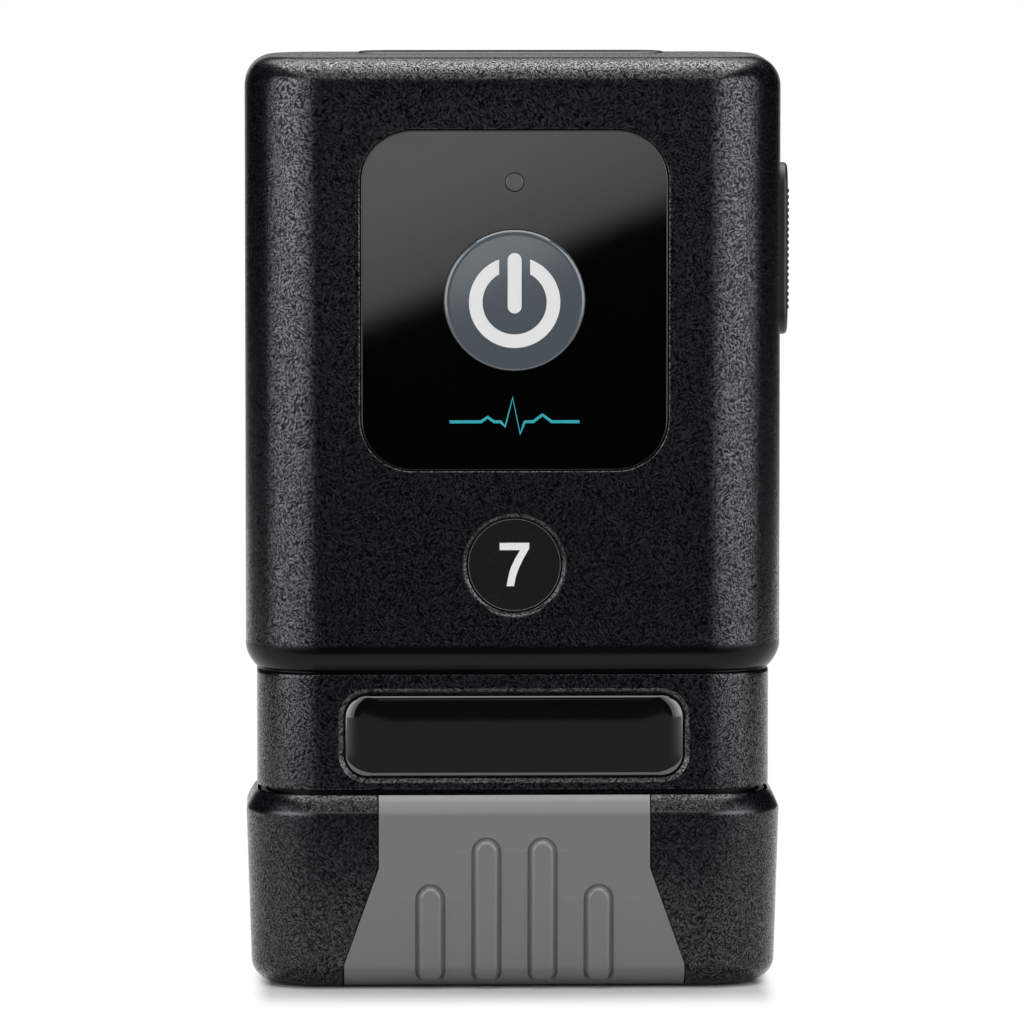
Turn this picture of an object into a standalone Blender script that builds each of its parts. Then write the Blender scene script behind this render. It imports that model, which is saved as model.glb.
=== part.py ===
"""Cardiac telemetry transmitter, a body-worn heart monitor.

It stands on its end cap. X runs to the right as seen from the front, Y from front to back and Z up.
The origin is the middle of the base. All lengths are in metres.
"""

import math

import bmesh
import bpy
from mathutils import Matrix, Vector

# Housing as a whole
BODY_WIDTH = 0.0580
BODY_DEPTH = 0.0250
BODY_HEIGHT = 0.1005
PLAN_RADIUS_SHARE = 0.328
TOP_FILLET = 0.0028
WALL = 0.0020
TOP_WALL = 0.0022

# Gaps between pieces
SEAT_GAP = 0.0002
SEAM_GAP = 0.00015
RUNNING_GAP = 0.00025
OVERRUN = 0.0010
ROOT_OVERLAP = 0.0004

# Seam between the front and rear shells, and its gasket
SEAM_DEPTH_SHARE = 0.08
GASKET_INSET = 0.00075
GASKET_WIDTH = 0.0006
GASKET_THICKNESS = 0.0010

# Neck, shoulder and the spigot that the end cap slides on
CAP_HEIGHT = 0.02085
CAP_RIM_GAP = 0.00025
NECK_HEIGHT = 0.0129
NECK_INSET = 0.0012
SHOULDER_HEIGHT = 0.0029
SPIGOT_LENGTH = 0.0121
SPIGOT_WALL = 0.0014
CAVITY_STEP_HEIGHT = 0.0016

# End cap
CAP_WALL = 0.00215
CAP_FLOOR = 0.0022
CAP_FILLET = 0.0024
CAP_BASE_INSET = 0.00055
CAP_TOP_INSET = 0.00005
CAP_RIM_INSET = 0.00125
CAP_ROUND_HEIGHT = 0.00255

# Seal in the spigot's groove
SEAL_HEIGHT_ABOVE_SPIGOT = 0.0047
SEAL_HEIGHT = 0.0014
SEAL_DEPTH = 0.0008
SEAL_SQUEEZE_GAP = 0.00015

# Grey grip band let into the cap
BAND_TOP_HALF_WIDTH = 0.01465
BAND_BASE_HALF_WIDTH = 0.0184
BAND_BEND_HEIGHT = 0.0130
BAND_FOOT_HEIGHT = 0.0025
BAND_THICKNESS = 0.0009
BAND_RIM_THICKNESS = 0.0004
BAND_GAP = 0.00015
RIB_PITCH = 0.00607
RIB_WIDTH = 0.0024
RIB_PROUD = 0.00045
RIB_FOOT_HEIGHT = 0.0008
TALL_RIB_HEIGHT = 0.0152
SHORT_RIB_HEIGHT = 0.0099

# Window and power key
WINDOW_WIDTH = 0.0330
WINDOW_HEIGHT_SHARE = 0.5818
WINDOW_RADIUS = 0.0056
WINDOW_BELOW_TOP_SHARE = 0.1179
WINDOW_THICKNESS = 0.0009
WINDOW_RECESS = 0.00015
WINDOW_EDGE_GAP = 0.0002
KEY_RADIUS = 0.0076
KEY_PROUD = 0.0004
KEY_EDGE_ROUND = 0.00035
KEY_FLANGE_WIDTH = 0.0010
KEY_FLANGE_THICKNESS = 0.0006
KEY_TRAVEL = 0.0004
LIGHT_PIPE_RADIUS = 0.00095
LIGHT_PIPE_COLLAR = 0.0006
LED_PLACE_SHARE = 0.4679

# Label disc in its dished recess
DISC_RADIUS = 0.0050
DISC_THICKNESS = 0.00035
DISC_EDGE_GAP = 0.0002
DISC_ABOVE_SHOULDER_SHARE = 0.1415
DISH_RADIUS = 0.00572
DISH_DEPTH = 0.00055

# Domed badge in its chamfered recess
BADGE_WIDTH = 0.0365
BADGE_HEIGHT = 0.0088
BADGE_RADIUS = 0.0024
BADGE_EDGE_THICKNESS = 0.0005
BADGE_DOME = 0.0004
BADGE_DOME_INSET = 0.0018
BADGE_EDGE_GAP = 0.0002
BADGE_CHAMFER = 0.0006
BADGE_RECESS = 0.0009
BADGE_BELOW_SHOULDER = 0.0067

# Side key
SIDE_KEY_LENGTH = 0.0187
SIDE_KEY_WIDTH = 0.0052
SIDE_KEY_PROUD = 0.00085
SIDE_KEY_CROWN = 0.00045
SIDE_KEY_BELOW_TOP = 0.0210
SIDE_KEY_DEPTH_SHARE = 0.072
SIDE_KEY_TRAVEL = 0.0004
SIDE_FLANGE_LENGTH = 0.0013
SIDE_FLANGE_THICKNESS = 0.0006
SIDE_STEM_RADIUS = 0.0008
SIDE_STEM_LENGTH = 0.0043
SIDE_RIDGE_WIDTH = 0.0007
SIDE_RIDGE_PITCH = 0.0014
SIDE_RIDGE_PROUD = 0.0002

# Case screws, their bosses and inserts
BOSS_WIDTH_SHARE = 0.3793
BOSS_RADIUS = 0.0034
BOSS_LINER_INSET = 0.0008
UPPER_BOSS_BELOW_TOP = 0.0065
LOWER_BOSS_ABOVE_SHOULDER = 0.0051
SCREW_RADIUS = 0.00115
SCREW_GRIP = 0.0029
SCREW_HEAD_RADIUS = 0.0023
SCREW_HEAD_THICKNESS = 0.0016
SCREW_HEAD_DEPTH = 0.0023
SCREW_SOCKET_RADIUS = 0.0012
SCREW_SOCKET_DEPTH = 0.0009
INSERT_RADIUS = 0.0019
INSERT_LENGTH = 0.0050
INSERT_BELOW_FACE = 0.0004

# Boards and their standoffs
BOARD_THICKNESS = 0.0010
MAIN_BOARD_DEPTH_SHARE = 0.268
BOARD_BOSS_MARGIN = 0.0007
BOARD_TOP_MARGIN = 0.0013
BOARD_HEIGHT_SHARE = 0.5597
BOARD_ABOVE_TRAY = 0.0015
BOARD_CORNER = 0.0015
BOARD_TO_SOCKET = 0.0004
POST_RADIUS = 0.0016
POST_PIN_RADIUS = 0.0007
POST_PIN_PROUD = 0.0004
POST_EDGE_X = 0.0024
POST_EDGE_Z = 0.0030
REAR_POST_BELOW_SOCKET = 0.0056

# Pieces on the boards
CHIP_PLACE_SHARE = 0.59
ANTENNA_PLACE_SHARE = 0.4
SWITCH_SIZE = 0.0062
SWITCH_HEIGHT_SHARE = 0.46
PLUNGER_RADIUS = 0.0015
PLUNGER_FLOOR = 0.0004
CONTACT_GAP = 0.0003
SIDE_SWITCH_LENGTH = 0.0050
SIDE_SWITCH_HEIGHT = 0.0064
SIDE_SWITCH_DEPTH = 0.0040
SIDE_SWITCH_BORE = 0.0018
SIDE_PLUNGER_RADIUS = 0.0009
SIDE_PLUNGER_LENGTH = 0.0021
PROCESSOR_SIZE = 0.0090
PROCESSOR_THICKNESS = 0.0010
RADIO_CAN_WIDTH = 0.0100
RADIO_CAN_HEIGHT_SHARE = 0.3652
RADIO_CAN_DEPTH_SHARE = 0.47
ANTENNA_LENGTH = 0.0070
ANTENNA_WIDTH = 0.0020
ANTENNA_THICKNESS = 0.0010
ANTENNA_EDGE = 0.0020
LED_SIZE = 0.0016
LED_HEIGHT = 0.0008
SOUNDER_RADIUS = 0.0045
SOUNDER_DEPTH = 0.0030
SOUNDER_PORT_RADIUS = 0.0010
SOUNDER_PORT_DEPTH = 0.0006
SOUNDER_X = -0.0090
SOUNDER_BELOW_KEY = 0.0025
HEADER_LENGTH = 0.0120
HEADER_WIDTH = 0.0030
HEADER_BELOW_BOARD_TOP = 0.0075
SHIELD_WIDTH = 0.0180
SHIELD_HEIGHT_SHARE = 0.3933
SHIELD_DEPTH = 0.0022
SHIELD_BELOW_KEY = 0.0015
CHIP_CORNER = 0.0003
CAN_CORNER = 0.0008

# Socket for the patient leads
SOCKET_WIDTH_SHARE = 0.5741
SOCKET_BEHIND_SEAM = 0.0016
SOCKET_REAR_MARGIN = 0.0029
SOCKET_PROUD = 0.0003
SOCKET_SIDE_WALL = 0.0008
SOCKET_FACE_WALL = 0.0007
SOCKET_HEIGHT = 0.0128
SOCKET_FLOOR = 0.0024
SOCKET_FLANGE = 0.0006
PIN_RADIUS = 0.0005
PIN_PITCH = 0.0060
PIN_COUNT = 5
PIN_HEIGHT = 0.0050
PIN_TAIL = 0.0018
PIN_HOLE_GAP = 0.00015

# Cells, tray and contacts
CELL_RADIUS_SHARE = 0.288
CELL_SIDE_GAP = 0.0004
CELL_REAR_GAP = 0.0004
CELL_NUB_RADIUS = 0.00275
CELL_NUB_HEIGHT = 0.0012
CELL_CLEARANCE = 0.0003
CELL_EDGE = 0.0006
TRAY_WALL = 0.0016
TRAY_CORNER = 0.0010
TRAY_TO_BOSS = 0.0006
TRAY_TOP = 0.0014
CONTACT_DEPTH = 0.0100
CONTACT_THICKNESS = 0.0004
CONTACT_CORNER = 0.0012
SPRING_WIRE = 0.0006
SPRING_HEIGHT = 0.0040
SPRING_BASE_RADIUS = 0.0044
SPRING_TIP_RADIUS = 0.0022
SPRING_CURLS = 3

# Facets
CORNER_STEPS = 6
SMALL_CORNER_STEPS = 2
FILLET_STEPS = 4
SHOULDER_STEPS = 4
ROUND_STEPS = 4
LARGE_ROUND = 36
MEDIUM_ROUND = 20
SMALL_ROUND = 12
CURL_POINTS = 9
WELD_DISTANCE = 0.000001
MILLIMETRES_PER_METRE = 1000
SHARP_ANGLE = math.radians(35)

# Places and sizes that follow from the sizes above
PLAN_RADIUS = BODY_DEPTH * PLAN_RADIUS_SHARE
BOSS_X = BODY_WIDTH * BOSS_WIDTH_SHARE
SOCKET_WIDTH = BODY_WIDTH * SOCKET_WIDTH_SHARE
NECK_BOTTOM = CAP_HEIGHT + CAP_RIM_GAP
NECK_TOP = NECK_BOTTOM + NECK_HEIGHT
SHOULDER_TOP = NECK_TOP + SHOULDER_HEIGHT
SPIGOT_BOTTOM = NECK_BOTTOM - SPIGOT_LENGTH
CAP_INNER_INSET = CAP_TOP_INSET + CAP_WALL
SPIGOT_INSET = CAP_INNER_INSET + RUNNING_GAP
BAY_INSET = SPIGOT_INSET + SPIGOT_WALL
CAVITY_TOP = BODY_HEIGHT - TOP_WALL
FRONT_FACE = -BODY_DEPTH / 2
REAR_FACE = BODY_DEPTH / 2
FRONT_WALL = FRONT_FACE + WALL
REAR_WALL = REAR_FACE - WALL
NECK_FACE = FRONT_FACE + NECK_INSET
SIDE_WALL = BODY_WIDTH / 2 - WALL
SEAM_Y = BODY_DEPTH * SEAM_DEPTH_SHARE
FRONT_SEAM = SEAM_Y - SEAM_GAP / 2
REAR_SEAM = SEAM_Y + SEAM_GAP / 2

PANEL_HEIGHT = BODY_HEIGHT - SHOULDER_TOP
WINDOW_HEIGHT = PANEL_HEIGHT * WINDOW_HEIGHT_SHARE
KEY_Z = BODY_HEIGHT - PANEL_HEIGHT * WINDOW_BELOW_TOP_SHARE - WINDOW_HEIGHT / 2
WINDOW_FACE = FRONT_FACE + WINDOW_RECESS
WINDOW_BACK = WINDOW_FACE + WINDOW_THICKNESS
KEY_FACE = WINDOW_FACE - KEY_PROUD
KEY_FLANGE_FRONT = FRONT_WALL + SEAT_GAP
KEY_BACK = KEY_FLANGE_FRONT + KEY_FLANGE_THICKNESS
KEY_HOLE_RADIUS = KEY_RADIUS + RUNNING_GAP
LED_Z = KEY_Z + KEY_RADIUS + (WINDOW_HEIGHT / 2 - KEY_RADIUS) * LED_PLACE_SHARE
PIPE_HOLE_RADIUS = LIGHT_PIPE_RADIUS + RUNNING_GAP
DISC_Z = SHOULDER_TOP + PANEL_HEIGHT * DISC_ABOVE_SHOULDER_SHARE
DISC_FACE = FRONT_FACE + DISH_DEPTH
BADGE_Z = NECK_TOP - BADGE_BELOW_SHOULDER

SOCKET_DEPTH = REAR_FACE - SOCKET_REAR_MARGIN - SEAM_Y - SOCKET_BEHIND_SEAM
SOCKET_TOP = BODY_HEIGHT + SOCKET_PROUD
SOCKET_BOTTOM = SOCKET_TOP - SOCKET_HEIGHT
SOCKET_INNER_FLOOR = SOCKET_BOTTOM + SOCKET_FLOOR
SOCKET_Y = REAR_FACE - SOCKET_REAR_MARGIN - SOCKET_DEPTH / 2
SOCKET_SHOULDER = CAVITY_TOP - SEAT_GAP

MAIN_BOARD_FRONT = -BODY_DEPTH * MAIN_BOARD_DEPTH_SHARE
MAIN_BOARD_BACK = MAIN_BOARD_FRONT + BOARD_THICKNESS
BOARD_STANDOFF = MAIN_BOARD_FRONT - FRONT_WALL
SWITCH_HEIGHT = BOARD_STANDOFF * SWITCH_HEIGHT_SHARE
RADIO_CAN_DEPTH = BOARD_STANDOFF * RADIO_CAN_DEPTH_SHARE
ECG_BOARD_BACK = SOCKET_Y - SOCKET_DEPTH / 2 - SOCKET_FLANGE - BOARD_TO_SOCKET
ECG_BOARD_FRONT = ECG_BOARD_BACK - BOARD_THICKNESS
BOARD_HALF_WIDTH = BOSS_X - BOSS_RADIUS - BOARD_BOSS_MARGIN
POST_X = BOARD_HALF_WIDTH - POST_EDGE_X
PROCESSOR_X = -BOARD_HALF_WIDTH * CHIP_PLACE_SHARE
RADIO_CAN_X = BOARD_HALF_WIDTH * CHIP_PLACE_SHARE
ANTENNA_X = BOARD_HALF_WIDTH * ANTENNA_PLACE_SHARE

SIDE_KEY_Y = -BODY_DEPTH * SIDE_KEY_DEPTH_SHARE
SIDE_KEY_Z = BODY_HEIGHT - SIDE_KEY_BELOW_TOP
SIDE_SWITCH_Y = MAIN_BOARD_BACK + SEAT_GAP + SIDE_SWITCH_DEPTH / 2
SIDE_FLANGE_OUTER = SIDE_WALL - SEAT_GAP
SIDE_FLANGE_INNER = SIDE_FLANGE_OUTER - SIDE_FLANGE_THICKNESS
SIDE_STEM_END = SIDE_FLANGE_INNER - SIDE_STEM_LENGTH
SIDE_PLUNGER_TIP = SIDE_STEM_END - CONTACT_GAP
SIDE_PLUNGER_BACK = SIDE_PLUNGER_TIP - SIDE_PLUNGER_LENGTH
SIDE_SWITCH_BACK = SIDE_PLUNGER_BACK - SIDE_KEY_TRAVEL - SEAT_GAP - SIDE_SWITCH_LENGTH + SIDE_SWITCH_BORE
SIDE_SWITCH_FRONT = SIDE_SWITCH_BACK + SIDE_SWITCH_LENGTH

BOARD_TOP = CAVITY_TOP - BOARD_TOP_MARGIN
BOARD_HEIGHT = PANEL_HEIGHT * BOARD_HEIGHT_SHARE
BOARD_BOTTOM = BOARD_TOP - BOARD_HEIGHT
BOARD_MIDDLE = (BOARD_BOTTOM + BOARD_TOP) / 2
RADIO_CAN_HEIGHT = BOARD_HEIGHT * RADIO_CAN_HEIGHT_SHARE
SHIELD_HEIGHT = BOARD_HEIGHT * SHIELD_HEIGHT_SHARE

TRAY_UPPER_FACE = BOARD_BOTTOM - BOARD_ABOVE_TRAY
TRAY_CEILING = TRAY_UPPER_FACE - TRAY_TOP
TRAY_CONTACT_TOP = TRAY_CEILING - SEAT_GAP
TRAY_CONTACT_BOTTOM = TRAY_CONTACT_TOP - CONTACT_THICKNESS
TRAY_BOTTOM = SHOULDER_TOP + CAVITY_STEP_HEIGHT + SEAT_GAP
CAP_CONTACT_BOTTOM = CAP_FLOOR + SEAT_GAP
CAP_CONTACT_TOP = CAP_CONTACT_BOTTOM + CONTACT_THICKNESS
HIGH_CELL_TOP = TRAY_CONTACT_BOTTOM - SEAT_GAP
LOW_CELL_BOTTOM = CAP_CONTACT_TOP + SEAT_GAP
CELL_LENGTH = HIGH_CELL_TOP - SPRING_HEIGHT - SEAT_GAP - LOW_CELL_BOTTOM
CELL_RADIUS = BODY_DEPTH * CELL_RADIUS_SHARE
CELL_PITCH = 2 * CELL_RADIUS + CELL_SIDE_GAP
CELL_Y = REAR_FACE - BAY_INSET - CELL_REAR_GAP - CELL_RADIUS
CONTACT_WIDTH = CELL_PITCH + 2 * SPRING_BASE_RADIUS

UPPER_BOSS_Z = BODY_HEIGHT - UPPER_BOSS_BELOW_TOP
LOWER_BOSS_Z = SHOULDER_TOP + LOWER_BOSS_ABOVE_SHOULDER
SCREW_PLACES = [(side * BOSS_X, z) for z in (UPPER_BOSS_Z, LOWER_BOSS_Z) for side in (-1, 1)]
SCREW_HEAD_SEAT = REAR_FACE - SCREW_HEAD_DEPTH - SCREW_HEAD_THICKNESS
INSERT_BACK = FRONT_SEAM - INSERT_BELOW_FACE
INSERT_FRONT = INSERT_BACK - INSERT_LENGTH
SCREW_TIP = INSERT_BACK - SCREW_GRIP

# Colours, read from the photo where the piece shows
BLACK_ABS = (0.018, 0.018, 0.021)
GLOSS_BLACK = (0.006, 0.006, 0.007)
GRIP_GREY = (0.195, 0.205, 0.200)
KEY_GREY = (0.110, 0.135, 0.155)
BOARD_GREEN = (0.015, 0.110, 0.050)
STEEL = (0.560, 0.560, 0.570)
BRASS = (0.720, 0.520, 0.220)
GOLD = (0.900, 0.680, 0.300)
RUBBER = (0.030, 0.030, 0.032)
CELL_JACKET = (0.100, 0.110, 0.130)
CLEAR = (0.700, 0.720, 0.740)


# Building shapes


def clear_scene():
    for item in list(bpy.data.objects):
        bpy.data.objects.remove(item, do_unlink=True)


def rounded_rectangle(width, height, radius, steps=CORNER_STEPS):
    """Outline with arcs for corners, anticlockwise from the right-hand side."""
    points = []
    corners = ((1, 1), (-1, 1), (-1, -1), (1, -1))
    for quarter, (across, up) in enumerate(corners):
        for step in range(steps + 1):
            angle = (quarter + step / steps) * math.pi / 2
            x = across * (width / 2 - radius) + radius * math.cos(angle)
            y = up * (height / 2 - radius) + radius * math.sin(angle)
            points.append((x, y))
    return points


def circle(radius, steps):
    turns = [2 * math.pi * (step + 0.5) / steps for step in range(steps)]
    return [(radius * math.cos(turn), radius * math.sin(turn)) for turn in turns]


def ring(axis, outline, station, centre=(0, 0)):
    """Places a flat outline square to an axis, at a station along it."""
    places = []
    for u, v in outline:
        across, up = centre[0] + u, centre[1] + v
        if axis == "x":
            places.append(Vector((station, across, up)))
        elif axis == "y":
            places.append(Vector((across, station, up)))
        else:
            places.append(Vector((across, up, station)))
    return places


def block(axis, width, height, radius, low, high, centre=(0, 0), steps=CORNER_STEPS):
    """Rings of a straight block with rounded edges along its axis."""
    outline = rounded_rectangle(width, height, radius, steps)
    return [ring(axis, outline, low, centre), ring(axis, outline, high, centre)]


def turned(axis, centre, profile, steps):
    """Rings of a turned piece, from pairs of a station along the axis and a radius."""
    return [ring(axis, circle(radius, steps), station, centre) for station, radius in profile]


def skin_loft(bm, rings, looped=False):
    """Joins rings of equal counts into one closed skin, capped unless it runs round in a loop."""
    loops = [[bm.verts.new(point) for point in points] for points in rings]
    pairs = list(zip(loops, loops[1:]))
    if looped:
        pairs.append((loops[-1], loops[0]))
    for near, far in pairs:
        for index in range(len(near)):
            bm.faces.new((near[index - 1], near[index], far[index], far[index - 1]))
    if not looped:
        bm.faces.new(loops[0])
        bm.faces.new(loops[-1])


def new_object(name, lofts, looped=False):
    """One object from a list of lofts, each a list of rings."""
    bm = bmesh.new()
    for rings in lofts:
        skin_loft(bm, rings, looped)
    bmesh.ops.remove_doubles(bm, verts=bm.verts, dist=WELD_DISTANCE)
    bmesh.ops.recalc_face_normals(bm, faces=bm.faces)
    mesh = bpy.data.meshes.new(name)
    bm.to_mesh(mesh)
    bm.free()
    made = bpy.data.objects.new(name, mesh)
    bpy.context.scene.collection.objects.link(made)
    return made


def helper(name, lofts, looped=False):
    """A guide solid that other pieces are cut or joined with."""
    made = new_object(name, lofts, looped)
    made.hide_render = True
    made.display_type = "WIRE"
    return made


def combine(target, other, operation):
    modifier = target.modifiers.new(f"{operation.lower()} {other.name}", "BOOLEAN")
    modifier.operation = operation
    modifier.object = other
    modifier.solver = "EXACT"


def cut(target, *others):
    for other in others:
        combine(target, other, "DIFFERENCE")


def join(target, *others):
    for other in others:
        combine(target, other, "UNION")


def keep(target, *others):
    for other in others:
        combine(target, other, "INTERSECT")


def finish(made, colour, roughness, metallic=0.0):
    """Gives a piece its own material and smooth shading over its round faces."""
    paint = bpy.data.materials.new(f"{made.name} finish")
    paint.use_nodes = True
    shader = paint.node_tree.nodes["Principled BSDF"]
    shader.inputs["Base Color"].default_value = (*colour, 1.0)
    shader.inputs["Roughness"].default_value = roughness
    shader.inputs["Metallic"].default_value = metallic
    paint.diffuse_color = (*colour, 1.0)
    made.data.materials.clear()
    made.data.materials.append(paint)
    if made.type == "MESH":
        made.data.shade_smooth()
        made.data.set_sharp_from_angle(angle=SHARP_ANGLE)
    return made


def hang_on_axis(name, point, *pieces):
    """Parents moving pieces to an empty that stands on their joint's axis."""
    axis = bpy.data.objects.new(name, None)
    axis.empty_display_type = "SINGLE_ARROW"
    axis.empty_display_size = WALL
    axis.location = point
    bpy.context.scene.collection.objects.link(axis)
    for piece in pieces:
        piece.parent = axis
        piece.matrix_parent_inverse = Matrix.Translation(-Vector(point))


# Outer and inner skins


def body_ring(z, inset):
    width, depth = BODY_WIDTH - 2 * inset, BODY_DEPTH - 2 * inset
    return ring("z", rounded_rectangle(width, depth, PLAN_RADIUS - inset), z)


def shoulder_sections(inset):
    """The shoulder's round, which leaves the body's wall upright and meets the neck in a crease."""
    sections = []
    for step in range(1, SHOULDER_STEPS + 1):
        share = 1 - step / SHOULDER_STEPS
        sections.append((SHOULDER_TOP - share * SHOULDER_HEIGHT, inset + NECK_INSET * share**2))
    return sections


def top_sections(inset):
    reach = TOP_FILLET - inset
    sections = []
    for step in range(FILLET_STEPS + 1):
        angle = step / FILLET_STEPS * math.pi / 2
        z = BODY_HEIGHT - TOP_FILLET + reach * math.sin(angle)
        sections.append((z, TOP_FILLET - reach * math.cos(angle)))
    return sections


def body_skin(inset=0.0):
    """The outside of both shells together, moved inwards by an inset."""
    sections = [
        (SPIGOT_BOTTOM, SPIGOT_INSET + inset),
        (NECK_BOTTOM, SPIGOT_INSET + inset),
        (NECK_BOTTOM, NECK_INSET + inset),
        (NECK_TOP, NECK_INSET + inset),
    ]
    sections += shoulder_sections(inset) + top_sections(inset)
    return [body_ring(z, moved) for z, moved in sections]


def body_hollow():
    sections = [
        (SPIGOT_BOTTOM - OVERRUN, BAY_INSET),
        (SHOULDER_TOP, BAY_INSET),
        (SHOULDER_TOP + CAVITY_STEP_HEIGHT, WALL),
        (CAVITY_TOP, WALL),
    ]
    return [body_ring(z, inset) for z, inset in sections]


def cap_base_sections(inset):
    reach = CAP_FILLET - inset
    sections = []
    for step in range(FILLET_STEPS + 1):
        angle = step / FILLET_STEPS * math.pi / 2
        z = CAP_FILLET - reach * math.cos(angle)
        sections.append((z, CAP_BASE_INSET + CAP_FILLET - reach * math.sin(angle)))
    return sections


def cap_skin(inset=0.0, rim_inset=0.0, overrun=0.0):
    """The outside of the end cap, with its base fillet, taper and rounded rim."""
    sections = cap_base_sections(inset)
    for step in range(ROUND_STEPS + 1):
        share = step / ROUND_STEPS
        growth = (CAP_RIM_INSET + rim_inset - CAP_TOP_INSET - inset) * share**2
        z = CAP_HEIGHT - CAP_ROUND_HEIGHT * (1 - share)
        sections.append((z, CAP_TOP_INSET + inset + growth))
    if overrun:
        sections.append((CAP_HEIGHT + overrun, CAP_RIM_INSET + rim_inset))
    return [body_ring(z, moved) for z, moved in sections]


def seam_slab(name, low, high, bottom):
    """A flat slab along the seam, reaching past the housing above and at its sides."""
    width = BODY_WIDTH + 2 * OVERRUN
    height = BODY_HEIGHT + OVERRUN - bottom
    middle = (0, bottom + height / 2)
    return helper(name, [block("y", width, height, OVERRUN, low, high, middle)])


# Housing shells


def screw_bosses(front, back):
    """Four bosses between two stations."""
    profile = [(front, BOSS_RADIUS), (back, BOSS_RADIUS)]
    return [turned("y", place, profile, MEDIUM_ROUND) for place in SCREW_PLACES]


def board_posts(root, seat, pin_end, heights):
    """Stepped posts whose thin ends locate a board."""
    profile = [(root, POST_RADIUS), (seat, POST_RADIUS), (seat, POST_PIN_RADIUS), (pin_end, POST_PIN_RADIUS)]
    return [turned("y", (side * POST_X, z), profile, SMALL_ROUND) for z in heights for side in (-1, 1)]


def front_post_heights():
    return BOARD_BOTTOM + POST_EDGE_Z, BOARD_TOP - POST_EDGE_Z


def rear_post_heights():
    return BOARD_BOTTOM + POST_EDGE_Z, SOCKET_BOTTOM - REAR_POST_BELOW_SOCKET


def gasket_groove():
    """The channel that the gasket lies in, cut into both shells."""
    groove = helper("gasket_groove", [body_skin(GASKET_INSET - SEAT_GAP)])
    core = helper("gasket_groove_core", [body_skin(GASKET_INSET + GASKET_WIDTH + SEAT_GAP)])
    reach = GASKET_THICKNESS / 2 + SEAT_GAP
    slab = seam_slab("gasket_groove_slab", SEAM_Y - reach, SEAM_Y + reach, NECK_BOTTOM + GASKET_WIDTH)
    cut(groove, core)
    keep(groove, slab)
    return groove


def make_shell_gasket():
    gasket = new_object("shell_gasket", [body_skin(GASKET_INSET)])
    core = helper("gasket_core", [body_skin(GASKET_INSET + GASKET_WIDTH)])
    reach = GASKET_THICKNESS / 2
    bottom = NECK_BOTTOM + GASKET_WIDTH + SEAT_GAP
    cut(gasket, core)
    keep(gasket, seam_slab("gasket_slab", SEAM_Y - reach, SEAM_Y + reach, bottom))
    finish(gasket, RUBBER, 0.8)


def seal_groove():
    """The channel round the spigot for its sealing ring."""
    low = SPIGOT_BOTTOM + SEAL_HEIGHT_ABOVE_SPIGOT - SEAT_GAP
    high = low + SEAL_HEIGHT + 2 * SEAT_GAP
    inner = CAP_INNER_INSET + SEAL_SQUEEZE_GAP + SEAL_DEPTH + SEAT_GAP
    outer = CAP_INNER_INSET
    rings = [body_ring(low, outer), body_ring(high, outer), body_ring(high, inner), body_ring(low, inner)]
    return helper("seal_groove", [rings], looped=True)


def window_pocket():
    width = WINDOW_WIDTH + 2 * WINDOW_EDGE_GAP
    height = WINDOW_HEIGHT + 2 * WINDOW_EDGE_GAP
    radius = WINDOW_RADIUS + WINDOW_EDGE_GAP
    back = WINDOW_BACK + SEAT_GAP
    return helper(
        "window_pocket", [block("y", width, height, radius, FRONT_FACE - OVERRUN, back, (0, KEY_Z))]
    )


def key_hole():
    profile = [(FRONT_FACE - OVERRUN, KEY_HOLE_RADIUS), (FRONT_WALL + OVERRUN, KEY_HOLE_RADIUS)]
    return helper("key_hole", [turned("y", (0, KEY_Z), profile, LARGE_ROUND)])


def light_pipe_hole():
    profile = [(FRONT_FACE - OVERRUN, PIPE_HOLE_RADIUS), (FRONT_WALL + OVERRUN, PIPE_HOLE_RADIUS)]
    return helper("light_pipe_hole", [turned("y", (0, LED_Z), profile, SMALL_ROUND)])


def label_dish():
    """The label's recess: a dished wall down to a round pocket."""
    pocket = DISC_RADIUS + DISC_EDGE_GAP
    slope = (DISH_RADIUS - pocket) / DISH_DEPTH
    profile = [
        (FRONT_FACE - OVERRUN, DISH_RADIUS + slope * OVERRUN),
        (FRONT_FACE + DISH_DEPTH, pocket),
        (FRONT_FACE + DISH_DEPTH + DISC_THICKNESS + SEAT_GAP, pocket),
    ]
    return helper("label_dish", [turned("y", (0, DISC_Z), profile, LARGE_ROUND)])


def badge_recess():
    """A chamfered recess, whose floor is the badge's outline with a small gap."""
    floor = NECK_FACE + BADGE_RECESS
    rings = []
    for depth in (-OVERRUN, BADGE_RECESS):
        share = 1 - depth / BADGE_RECESS
        grown = BADGE_EDGE_GAP + BADGE_CHAMFER * share
        outline = rounded_rectangle(BADGE_WIDTH + 2 * grown, BADGE_HEIGHT + 2 * grown, BADGE_RADIUS + grown)
        rings.append(ring("y", outline, min(NECK_FACE + depth, floor), (0, BADGE_Z)))
    return helper("badge_recess", [rings])


def side_key_slot():
    width = SIDE_KEY_WIDTH + 2 * SEAT_GAP
    length = SIDE_KEY_LENGTH + 2 * SEAT_GAP
    inner, outer = SIDE_WALL - OVERRUN, BODY_WIDTH / 2 + OVERRUN
    centre = (SIDE_KEY_Y, SIDE_KEY_Z)
    return helper("side_key_slot", [block("x", width, length, width / 2, inner, outer, centre)])


def insert_holes():
    """Blind holes in the front bosses for the threaded inserts."""
    radius = INSERT_RADIUS + SEAT_GAP
    profile = [(INSERT_FRONT - SEAT_GAP, radius), (FRONT_SEAM + OVERRUN, radius)]
    return helper("insert_holes", [turned("y", place, profile, MEDIUM_ROUND) for place in SCREW_PLACES])


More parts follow.
